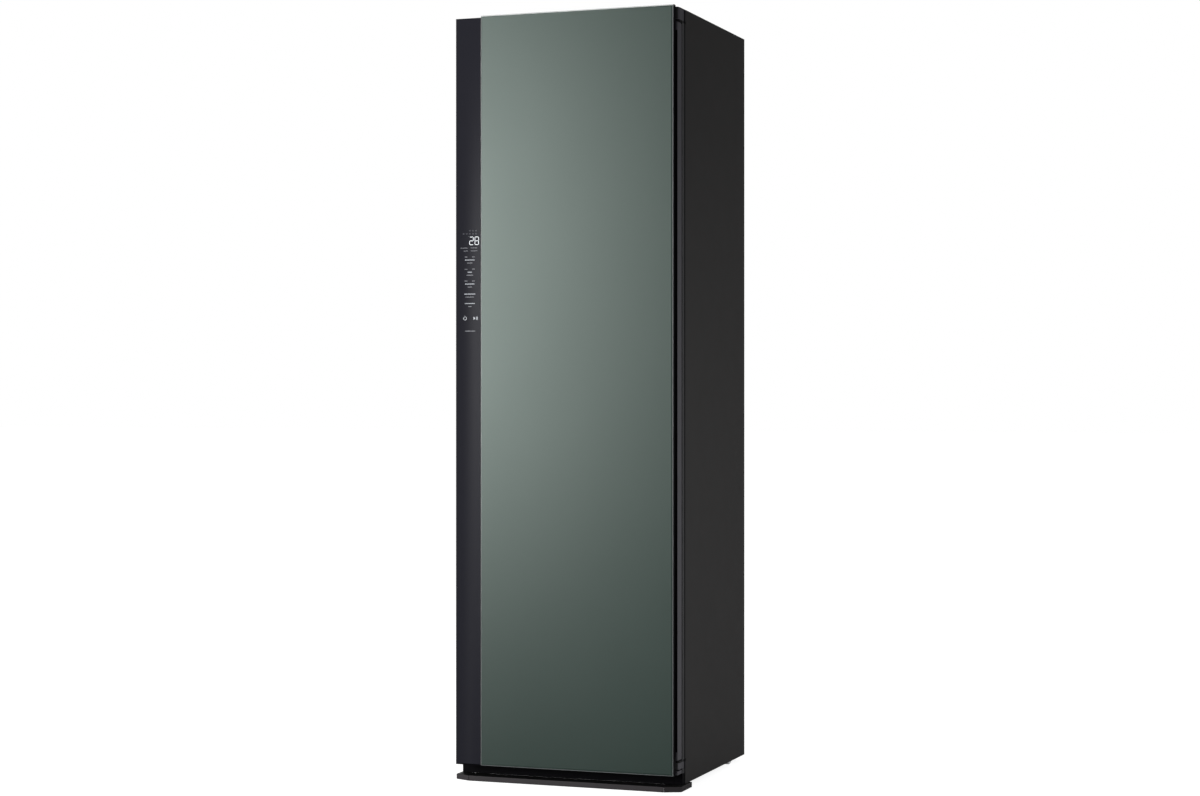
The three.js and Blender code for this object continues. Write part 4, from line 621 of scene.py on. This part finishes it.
def painted_panel_glints():
    glass_low, glass_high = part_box("door_glass")
    frame_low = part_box("door_face_frame")[0]
    front = frame_low[1]
    left = glass_high[0] + GLASS_GAP
    right = left + GLINT_WIDTH
    low = frame_low[2] + PAINTED_STRIP_GAP
    under = glass_low[2] - PAINTED_STRIP_GAP
    outline = [
        (glass_low[0], low), (right, low), (right, glass_high[2]), (left, glass_high[2]), (left, under),
        (glass_low[0], under)]
    # Painted highlight: a pale L along the panel's right and lower edges
    shaped(
        "panel_edge_glint", lambda drawn: prism(drawn, outline, front - GLINT_RISE, front),
        "edge_glint", "door", GLINT_EDGE)
    side_x = [glass_low[0] - PAINTED_STRIP_GAP, glass_low[0] + SIDE_GLINT_LAP]
    side_z = [under, glass_high[2]]
    side_front = glass_low[1] + SIDE_GLINT_SINK
    # Painted highlight: a pale line down the panel's left edge
    shaped(
        "panel_side_glint", lambda drawn: plate(drawn, side_x, side_z, side_front, front),
        "side_glint", "door", GLINT_EDGE)
    top_x = [glass_low[0], right]
    top_z = [glass_high[2] + GLASS_GAP, glass_high[2] + GLASS_GAP + TOP_GLINT_HEIGHT]
    # Painted highlight: a near-white line over the panel's top edge
    shaped(
        "panel_top_glint", lambda drawn: plate(drawn, top_x, top_z, front - GLINT_RISE, front),
        "top_glint", "door", GLINT_EDGE)


def step_shade_strip():
    shell_low, shell_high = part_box("door_shell")
    frame_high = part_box("door_face_frame")[1]
    low_hinge_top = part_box("bottom_hinge_bracket")[1][2]
    high_hinge_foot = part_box("top_hinge_bracket")[0][2]
    x = [frame_high[0] + PAINTED_STRIP_GAP, shell_high[0] - PAINTED_STRIP_GAP]
    z = [low_hinge_top + STEP_SHADE_END_GAP, high_hinge_foot - STEP_SHADE_END_GAP]
    front = shell_low[1]
    # Painted shade: a black strip on the door's front step beside the face frame, where the groove there is
    # in shade
    shaped(
        "door_step_shade", lambda drawn: plate(drawn, x, z, front - STEP_SHADE_RISE, front),
        "trim", "door", STEP_SHADE_EDGE)


# The marks behind the strip's glass stand this far out of it
PRINT_RISE = 0.05 * MM

# The number: where each digit starts, its size, and the share of a bar's half width that its ends give up
NUMBER_LEFT = {"2": -256.4 * MM, "8": -241.6 * MM}
NUMBER_LOW = 1375.4 * MM
DIGIT_SIZE = (10.2 * MM, 19.8 * MM)
DIGIT_LINE = 1.15 * MM
DIGIT_END_SHARE = 0.8
DIGITS = {"2": "abged", "8": "abcdefg"}

# The labels: their heights, half the width of each word and of the line under it, and the first ones' pairs
LABEL_MIDDLE = -255.7 * MM
LABEL_STEP = 7.7 * MM
LABEL_HEIGHTS = [1336.5 * MM, 1305.3 * MM, 1274.9 * MM, 1249.2 * MM, 1225.0 * MM]
WORD_HALVES = [13.5 * MM, 6.0 * MM, 13.2 * MM, 15.7 * MM, 14.3 * MM]
UNDER_HALVES = [7.2 * MM, 9.5 * MM, 5.8 * MM, 11.8 * MM, 4.6 * MM]
PAIR_COUNT = 3
PAIR_HALF = 14.0 * MM
PAIR_WIDTH = 7.5 * MM
WORD_SIZE = 2.0 * MM
WORD_PITCH = 3 * MM
SMALL_SIZE = 1.8 * MM
SMALL_PITCH = 2 * MM
DASH_SHARE = 0.78

# The two rows under the number, each with its height and its left end, and the break in both
STATUS_ROWS = [(1367.3 * MM, -281.0 * MM), (1359.7 * MM, -272.7 * MM)]
STATUS_BREAK = [-261.5 * MM, -253.2 * MM]
STATUS_RIGHT = -234.8 * MM
STATUS_SIZE = 1.4 * MM

# The rows of small rings over the number: how many, the first one's place, their spacing and their radius
RING_ROWS = [
    (5, (-272.7 * MM, 1403.4 * MM), 8.5 * MM, 1.7 * MM),
    (3, (-255.4 * MM, 1411.3 * MM), 8.6 * MM, 1.5 * MM)]
RING_LINE = 0.5 * MM
RING_TURN = [0, 330]
RING_STEPS = 10

# The row under the touch keys
FOOT_X = [-269.0 * MM, -240.6 * MM]
FOOT_HEIGHT = 1154.4 * MM
FOOT_SIZE = 1.9 * MM

# The two touch keys: a broken ring with a bar in its gap, and a triangle with two bars
POWER_PLACE = (-269.2 * MM, 1187.0 * MM)
POWER_RADIUS = 4.3 * MM
POWER_TURN = [125, 415]
POWER_STEPS = 28
POWER_BAR = [1.5 * MM, 6.2 * MM]
POWER_LINE = 1.1 * MM
PLAY_PLACE = (-245.6 * MM, 1187.0 * MM)
PLAY_WIDTH = 5.2 * MM
PLAY_HALF = 4.2 * MM
PAUSE_SHIFTS = [7.2 * MM, 10.2 * MM]
PAUSE_WIDTH = 1.4 * MM
PAUSE_HALF = 4.0 * MM


def digit(drawn, name, left, low, near, far):
    """A number in seven bars."""
    wide, high = DIGIT_SIZE
    half = DIGIT_LINE / 2
    right, top, middle = left + wide, low + high, low + high / 2
    bars = {
        "a": ((left, top), (right, top)), "b": ((right, top), (right, middle)),
        "c": ((right, middle), (right, low)), "d": ((left, low), (right, low)),
        "e": ((left, low), (left, middle)), "f": ((left, middle), (left, top)),
        "g": ((left, middle), (right, middle))}
    for key in DIGITS[name]:
        start, end = (Vector(point) for point in bars[key])
        way = (end - start).normalized()
        side = Vector((-way.y, way.x))
        start = start + way * half * DIGIT_END_SHARE
        end = end - way * half * DIGIT_END_SHARE
        outline = [
            start, start + (way - side) * half, end - (way + side) * half, end,
            end - (way - side) * half, start + (way + side) * half]
        prism(drawn, [tuple(point) for point in outline], near, far)


def dashes(drawn, x, z, size, pitch, near, far):
    """A row of short marks in the place of a printed word."""
    count = max(1, round((x[1] - x[0]) / pitch))
    step = (x[1] - x[0]) / count
    for i in range(count):
        start = x[0] + step * i
        plate(drawn, [start, start + step * DASH_SHARE], [z - size / 2, z + size / 2], near, far)


def display():
    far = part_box("control_strip")[0][1]
    near = far - PRINT_RISE

    def number(drawn):
        for name, left in NUMBER_LEFT.items():
            digit(drawn, name, left, NUMBER_LOW, near, far)

    def words(drawn):
        for z, half in zip(LABEL_HEIGHTS, WORD_HALVES):
            x = [LABEL_MIDDLE - half, LABEL_MIDDLE + half]
            dashes(drawn, x, z, WORD_SIZE, WORD_PITCH, near, far)

    def small(drawn):
        for z, half in zip(LABEL_HEIGHTS, UNDER_HALVES):
            x = [LABEL_MIDDLE - half, LABEL_MIDDLE + half]
            dashes(drawn, x, z - LABEL_STEP, SMALL_SIZE, SMALL_PITCH, near, far)
        for z in LABEL_HEIGHTS[:PAIR_COUNT]:
            for sign in (-1, 1):
                x = sorted(LABEL_MIDDLE + sign * reach for reach in (PAIR_HALF, PAIR_HALF - PAIR_WIDTH))
                dashes(drawn, x, z + LABEL_STEP, SMALL_SIZE, SMALL_PITCH, near, far)
        for z, left in STATUS_ROWS:
            for x in ([left, STATUS_BREAK[0]], [STATUS_BREAK[1], STATUS_RIGHT]):
                dashes(drawn, x, z, STATUS_SIZE, SMALL_PITCH, near, far)
        for count, place, pitch, radius in RING_ROWS:
            for i in range(count):
                ring = arc((place[0] + i * pitch, place[1]), radius, *RING_TURN, RING_STEPS)
                stroke(drawn, ring, RING_LINE, near, far, True)
        dashes(drawn, FOOT_X, FOOT_HEIGHT, FOOT_SIZE, SMALL_PITCH, near, far)

    def keys(drawn):
        x, z = POWER_PLACE
        ring = arc(POWER_PLACE, POWER_RADIUS, *POWER_TURN, POWER_STEPS)
        stroke(drawn, ring, POWER_LINE, near, far)
        stroke(drawn, [(x, z + height) for height in POWER_BAR], POWER_LINE, near, far)
        x, z = PLAY_PLACE
        prism(drawn, [(x, z - PLAY_HALF), (x + PLAY_WIDTH, z), (x, z + PLAY_HALF)], near, far)
        for shift in PAUSE_SHIFTS:
            bar = [x + shift, x + shift + PAUSE_WIDTH]
            plate(drawn, bar, [z - PAUSE_HALF, z + PAUSE_HALF], near, far)

    shaped("display_number", number, "lit_white", "door")
    shaped("display_words", words, "lit_words", "door")
    shaped("display_small_marks", small, "lit_small", "door")
    shaped("touch_keys", keys, "lit_keys", "door")


# The door seal: a soft bulb on folded bellows, as shares of its half width and of its depth
SEAL_HALF = 6 * MM
SEAL_CORNER = 18 * MM
SEAL_STEPS = 6
SEAL_SHARES = [
    (-1, 0), (-1, 0.15), (-0.5, 0.22), (-0.78, 0.4), (-0.55, 0.55), (-1, 0.64), (-1, 0.9), (-0.86, 1),
    (-0.2, 0.96), (0.2, 0.96), (0.86, 1), (1, 0.9), (1, 0.64), (0.55, 0.55), (0.78, 0.4), (0.5, 0.22),
    (1, 0.15), (1, 0)]


def door_seal():
    low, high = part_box("door_gasket")
    depth = high[1] - low[1]
    path = rounded(
        [low[0] + SEAL_HALF, high[0] - SEAL_HALF], [low[2] + SEAL_HALF, high[2] - SEAL_HALF],
        SEAL_CORNER, SEAL_STEPS)
    outward = []
    for turn in (0, 90, 180, 270):
        outward += arc((0, 0), 1, turn, turn + 90, SEAL_STEPS)
    rings = [
        [(x + out * SEAL_HALF * way[0], low[1] + depth * share, z + out * SEAL_HALF * way[1])
         for out, share in SEAL_SHARES]
        for (x, z), way in zip(path, outward)]
    made = shaped(
        "door_seal", lambda drawn: skin(drawn, rings, True), "rubber", "door")
    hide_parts("door_gasket")


# The bead pressed into the trouser press's plate, whose face bulges towards its middle
PRESS_X = [-118 * MM, 179.7 * MM]
PRESS_Z = [660 * MM, 1540 * MM]
PRESS_BULGE = 5 * MM
BEAD_INSET = 18 * MM
BEAD_RADIUS = 1.4 * MM
BEAD_CORNER = 22 * MM
BEAD_STEP = 12 * MM
BEAD_STEPS = 6
BEAD_SIDES = 10


def press_bead():
    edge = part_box("press_plate")[1][1] - PRESS_BULGE
    middle = (PRESS_X[0] + PRESS_X[1]) / 2
    half = (PRESS_X[1] - PRESS_X[0]) / 2
    x = [PRESS_X[0] + BEAD_INSET, PRESS_X[1] - BEAD_INSET]
    z = [PRESS_Z[0] + BEAD_INSET, PRESS_Z[1] - BEAD_INSET]
    outline = divided(rounded(x, z, BEAD_CORNER, BEAD_STEPS), BEAD_STEP)
    path = [(a, edge + PRESS_BULGE * (1 - ((a - middle) / half) ** 2), b) for a, b in outline]
    shaped(
        "press_plate_bead", lambda drawn: tube(drawn, path, BEAD_RADIUS, BEAD_SIDES, True),
        "press_paint", "press")


# The wire shelf, with bent corners
SHELF_FRAME = 4 * MM
SHELF_WIRE = 3 * MM
SHELF_BEND = 14 * MM
SHELF_STEPS = 8
SHELF_WIRES = 9
WIRE_SIDES = 14


def wire_shelf():
    low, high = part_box("shelf")
    z = (low[2] + high[2]) / 2
    x = [low[0] + SHELF_FRAME, high[0] - SHELF_FRAME]
    y = [low[1] + SHELF_FRAME, high[1] - SHELF_FRAME]

    def build(drawn):
        ring = [(a, b, z) for a, b in rounded(x, y, SHELF_BEND, SHELF_STEPS)]
        tube(drawn, ring, SHELF_FRAME, WIRE_SIDES, True)
        pitch = (x[1] - x[0]) / (SHELF_WIRES + 1)
        for i in range(SHELF_WIRES):
            at = x[0] + pitch * (i + 1)
            tube(drawn, [(at, y[0], z), (at, y[1], z)], SHELF_WIRE, WIRE_SIDES)

    made = shaped("wire_shelf", build, "wire", "shelf_body")
    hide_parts("shelf")


# The tanks' printed level marks, every third one long, and a drop
TICK_RISE = 0.1 * MM
TICK_COUNT = 7
TICK_START = 24 * MM
TICK_STEP = 11 * MM
TICK_INSET = 22 * MM
TICK_HALF = 0.5 * MM
TICK_LENGTHS = [14 * MM, 8 * MM, 8 * MM]
DROP_HEIGHT = 40 * MM
DROP_TIP = 57 * MM
DROP_RADIUS = 8 * MM
DROP_LINE = 1.4 * MM
DROP_TURN = [150, 390]
DROP_STEPS = 20


def tank_marks(title):
    low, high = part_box(title + "_tank")
    middle = (low[0] + high[0]) / 2
    near = low[1] - TICK_RISE

    def build(drawn):
        edge = high[0] - TICK_INSET
        for i in range(TICK_COUNT):
            z = low[2] + TICK_START + i * TICK_STEP
            x = [edge - TICK_LENGTHS[i % len(TICK_LENGTHS)], edge]
            plate(drawn, x, [z - TICK_HALF, z + TICK_HALF], near, low[1])
        drop = arc((middle, low[2] + DROP_HEIGHT), DROP_RADIUS, *DROP_TURN, DROP_STEPS)
        drop.append((middle, low[2] + DROP_TIP))
        stroke(drawn, drop, DROP_LINE, near, low[1], True)

    shaped(title + "_tank_marks", build, "print", title + "_tank_body")


# The lint filter's woven screen, inside its rim and its wall
SCREEN_RISE = 0.4 * MM
FILTER_RIM = 5 * MM
FILTER_WALL = 2.4 * MM
FILTER_STEPS = 4


def filter_screen():
    low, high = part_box("lint_filter")
    inset = FILTER_RIM + FILTER_WALL
    foot = low[2] + FILTER_WALL
    outline = rounded(
        [low[0] + inset, high[0] - inset], [low[1] + inset, high[1] - inset], FILTER_WALL, FILTER_STEPS)
    shaped(
        "filter_screen", lambda drawn: upright(drawn, outline, foot, foot + SCREEN_RISE),
        "mesh", "filter")


# A dark disc of painted shade at the top hinge, where the lower end of its notch is in shade, as shares of
# its radius and rise
NOTCH_SHADE_PLACE = (299.5 * MM, -253.5 * MM, 1919.4 * MM)
NOTCH_SHADE_RADIUS = 2.4 * MM
NOTCH_SHADE_RISE = 0.25 * MM
NOTCH_SHADE_SHARES = [(1, 0), (0.85, 1), (0.5, 1), (0.4, 0)]
NOTCH_SHADE_SIDES = 20


def hinge_notch_shade_dot():
    profile = [(radius * NOTCH_SHADE_RADIUS, height * NOTCH_SHADE_RISE) for radius, height in NOTCH_SHADE_SHARES]
    shaped(
        "hinge_notch_shade", lambda drawn: turned(drawn, NOTCH_SHADE_PLACE, (1, 0, 0), profile, NOTCH_SHADE_SIDES),
        "trim", "cabinet")


# Painted highlight: a pale line on the front frame's edge, for the light its rounded edge catches; and
# painted shade: a dark strip in its joint with the side panel
FRAME_PAINTED_RISE = 0.25 * MM
FRAME_PAINTED_EDGE = 0.08 * MM
FRAME_GLINT_WIDTH = 1.2 * MM
SIDE_SHADE_DEPTH = 8 * MM


def frame_glint_and_joint_shade():
    low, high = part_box("front_frame")
    z = [low[2] + EDGE_ROUND, high[2] - EDGE_ROUND]
    edge_x = [high[0] - FRAME_GLINT_WIDTH, high[0]]
    # Painted highlight: a pale line on the frame's front edge
    shaped(
        "frame_edge_glint", lambda drawn: plate(drawn, edge_x, z, low[1] - FRAME_PAINTED_RISE, low[1]),
        "frame_glint", "cabinet", FRAME_PAINTED_EDGE)
    corners = box_outline([high[0], high[0] + FRAME_PAINTED_RISE], [high[1] - SIDE_SHADE_DEPTH, high[1]])
    # Painted shade: a dark strip in the joint between the frame and the side panel, where the groove is in
    # shade
    shaped(
        "side_joint_shade", lambda drawn: upright(drawn, corners, z[0], z[1]),
        "trim", "cabinet", FRAME_PAINTED_EDGE)


# Pan-head screws: in the back panel's channels and down both sides of the front frame
SCREW_RADIUS = 3.6 * MM
SCREW_RISE = 1.6 * MM
SCREW_SHARES = [(1, 0), (1, 0.35), (0.86, 0.78), (0.5, 1), (0.42, 1), (0.36, 0.45)]
SCREW_SIDES = 18
BACK_CHANNEL_X = 125 * MM
BACK_CHANNEL_DROP = 2 * MM
BACK_SCREW_HEIGHTS = [520 * MM, 865 * MM, 1210 * MM, 1555 * MM, 1900 * MM]
FRAME_SCREW_X = 284 * MM
FRAME_SCREW_HEIGHTS = [150 * MM, 1000 * MM, 1850 * MM]


def screws(name, x, y, heights, way):
    """Two rows of screws, left and right, that face forward or back."""
    profile = [(radius * SCREW_RADIUS, height * SCREW_RISE) for radius, height in SCREW_SHARES]

    def build(drawn):
        for side in (-1, 1):
            for z in heights:
                turned(drawn, (side * x, y, z), (0, way, 0), profile, SCREW_SIDES)

    shaped(name, build, "screw", "cabinet")


# Shallow upright ribs pressed into the compartment's back wall
TUB_WALL = 3 * MM
RIB_COUNT = 6
RIB_PITCH = 76 * MM
RIB_WIDTH = 9 * MM
RIB_RISE = 1.3 * MM
RIB_HEIGHTS = [625 * MM, 1745 * MM]
RIB_EDGE = 0.4 * MM
RIB_STEPS = 10


def tub_ribs():
    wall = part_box("inner_tub")[1][1] - TUB_WALL

    def build(drawn):
        for i in range(RIB_COUNT):
            middle = (i - (RIB_COUNT - 1) / 2) * RIB_PITCH
            crown = [
                (middle + RIB_WIDTH / 2 * math.cos(a), wall - RIB_RISE * math.sin(a))
                for a in (math.pi * k / RIB_STEPS for k in range(RIB_STEPS + 1))]
            upright(drawn, crown, *RIB_HEIGHTS)

    shaped("tub_ribs", build, "tub", "cabinet", RIB_EDGE)


def camera():
    made = bpy.data.objects.new("camera", bpy.data.cameras.new("camera"))
    bpy.context.collection.objects.link(made)
    made.location = CAMERA_PLACE
    made.rotation_euler = (math.pi / 2, 0, CAMERA_TURN)
    made.data.lens = CAMERA_LENS
    made.data.sensor_width = CAMERA_SENSOR
    made.data.clip_end = CAMERA_REACH
    bpy.context.scene.camera = made


def lamp(name, place, target, size, watts):
    light = bpy.data.lights.new(name, "AREA")
    light.shape = "RECTANGLE"
    light.size, light.size_y = size
    light.energy = watts
    made = bpy.data.objects.new(name, light)
    bpy.context.collection.objects.link(made)
    made.location = place
    made.rotation_euler = (Vector(target) - Vector(place)).to_track_quat("-Z", "Y").to_euler()
    made.visible_camera = False


def seen_directly(tree):
    """The kinds of ray, and a number that is one where the camera looks, also through clear plastic."""
    rays = add(tree, "LightPath")
    seen = calculated(
        tree, "MAXIMUM", rays.outputs["Is Camera Ray"], rays.outputs["Is Transmission Ray"])
    return rays, seen


def floor():
    """A wide floor that looks white and throws back a little light."""
    mesh = bpy.data.meshes.new("floor")
    corners = box_outline([-FLOOR_HALF, FLOOR_HALF], [-FLOOR_HALF, FLOOR_HALF])
    mesh.from_pydata([(x, y, 0) for x, y in corners], [], [(0, 1, 2, 3)])
    made = bpy.data.objects.new("floor", mesh)
    bpy.context.collection.objects.link(made)
    surface, tree, shader = material("floor")
    shader.inputs["Base Color"].default_value = (FLOOR_SHADE, FLOOR_SHADE, FLOOR_SHADE, 1)
    shader.inputs["Roughness"].default_value = 0.9
    shader.inputs["Specular IOR Level"].default_value = 0.0
    shader.inputs["Emission Color"].default_value = (1, 1, 1, 1)
    seen = seen_directly(tree)[1]
    tree.links.new(calculated(tree, "MULTIPLY", seen, FLOOR_GLOW), shader.inputs["Emission Strength"])
    mesh.materials.append(surface)


def sky():
    """White where the camera looks and in a mirror of its far end, and dimmer on the other sides."""
    world = bpy.data.worlds.new("studio")
    world.use_nodes = True
    bpy.context.scene.world = world
    tree = world.node_tree
    back = tree.nodes["Background"]
    back.inputs["Color"].default_value = (1, 1, 1, 1)
    rays, seen = seen_directly(tree)
    compass = add(tree, "TexCoord").outputs["Generated"]
    facing = add(tree, "VectorMath", operation="DOT_PRODUCT")
    tree.links.new(compass, facing.inputs[0])
    facing.inputs[1].default_value = (-math.sin(CAMERA_TURN), math.cos(CAMERA_TURN), 0)
    backdrop = ramp(tree, facing.outputs["Value"], *BACKDROP_SHARES, DARK_SIDE, 1)
    ceiling = ramp(tree, along(tree, compass, "Z"), *CEILING_SHARES, 0, CEILING_LEVEL)
    room = calculated(tree, "MAXIMUM", backdrop, ceiling)
    mirrored = mixed(tree, "FLOAT", rays.outputs["Is Glossy Ray"], AMBIENT, room)
    tree.links.new(mixed(tree, "FLOAT", seen, mirrored, 1), back.inputs["Strength"])


for finish, names in NODE_FINISH.items():
    for name in names:
        dress(name, finish)
painted_panel_glints()
step_shade_strip()
display()
door_seal()
press_bead()
wire_shelf()
tank_marks("supply")
tank_marks("drain")
filter_screen()
hinge_notch_shade_dot()
frame_glint_and_joint_shade()
screws(
    "back_panel_screws", BACK_CHANNEL_X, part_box("back_panel")[1][1] - BACK_CHANNEL_DROP,
    BACK_SCREW_HEIGHTS, 1)
screws("front_frame_screws", FRAME_SCREW_X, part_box("front_frame")[0][1], FRAME_SCREW_HEIGHTS, -1)
tub_ribs()
camera()
floor()
sky()
for name, settings in LAMPS.items():
    lamp(name, *settings)
bpy.context.scene.view_settings.view_transform = "Standard"
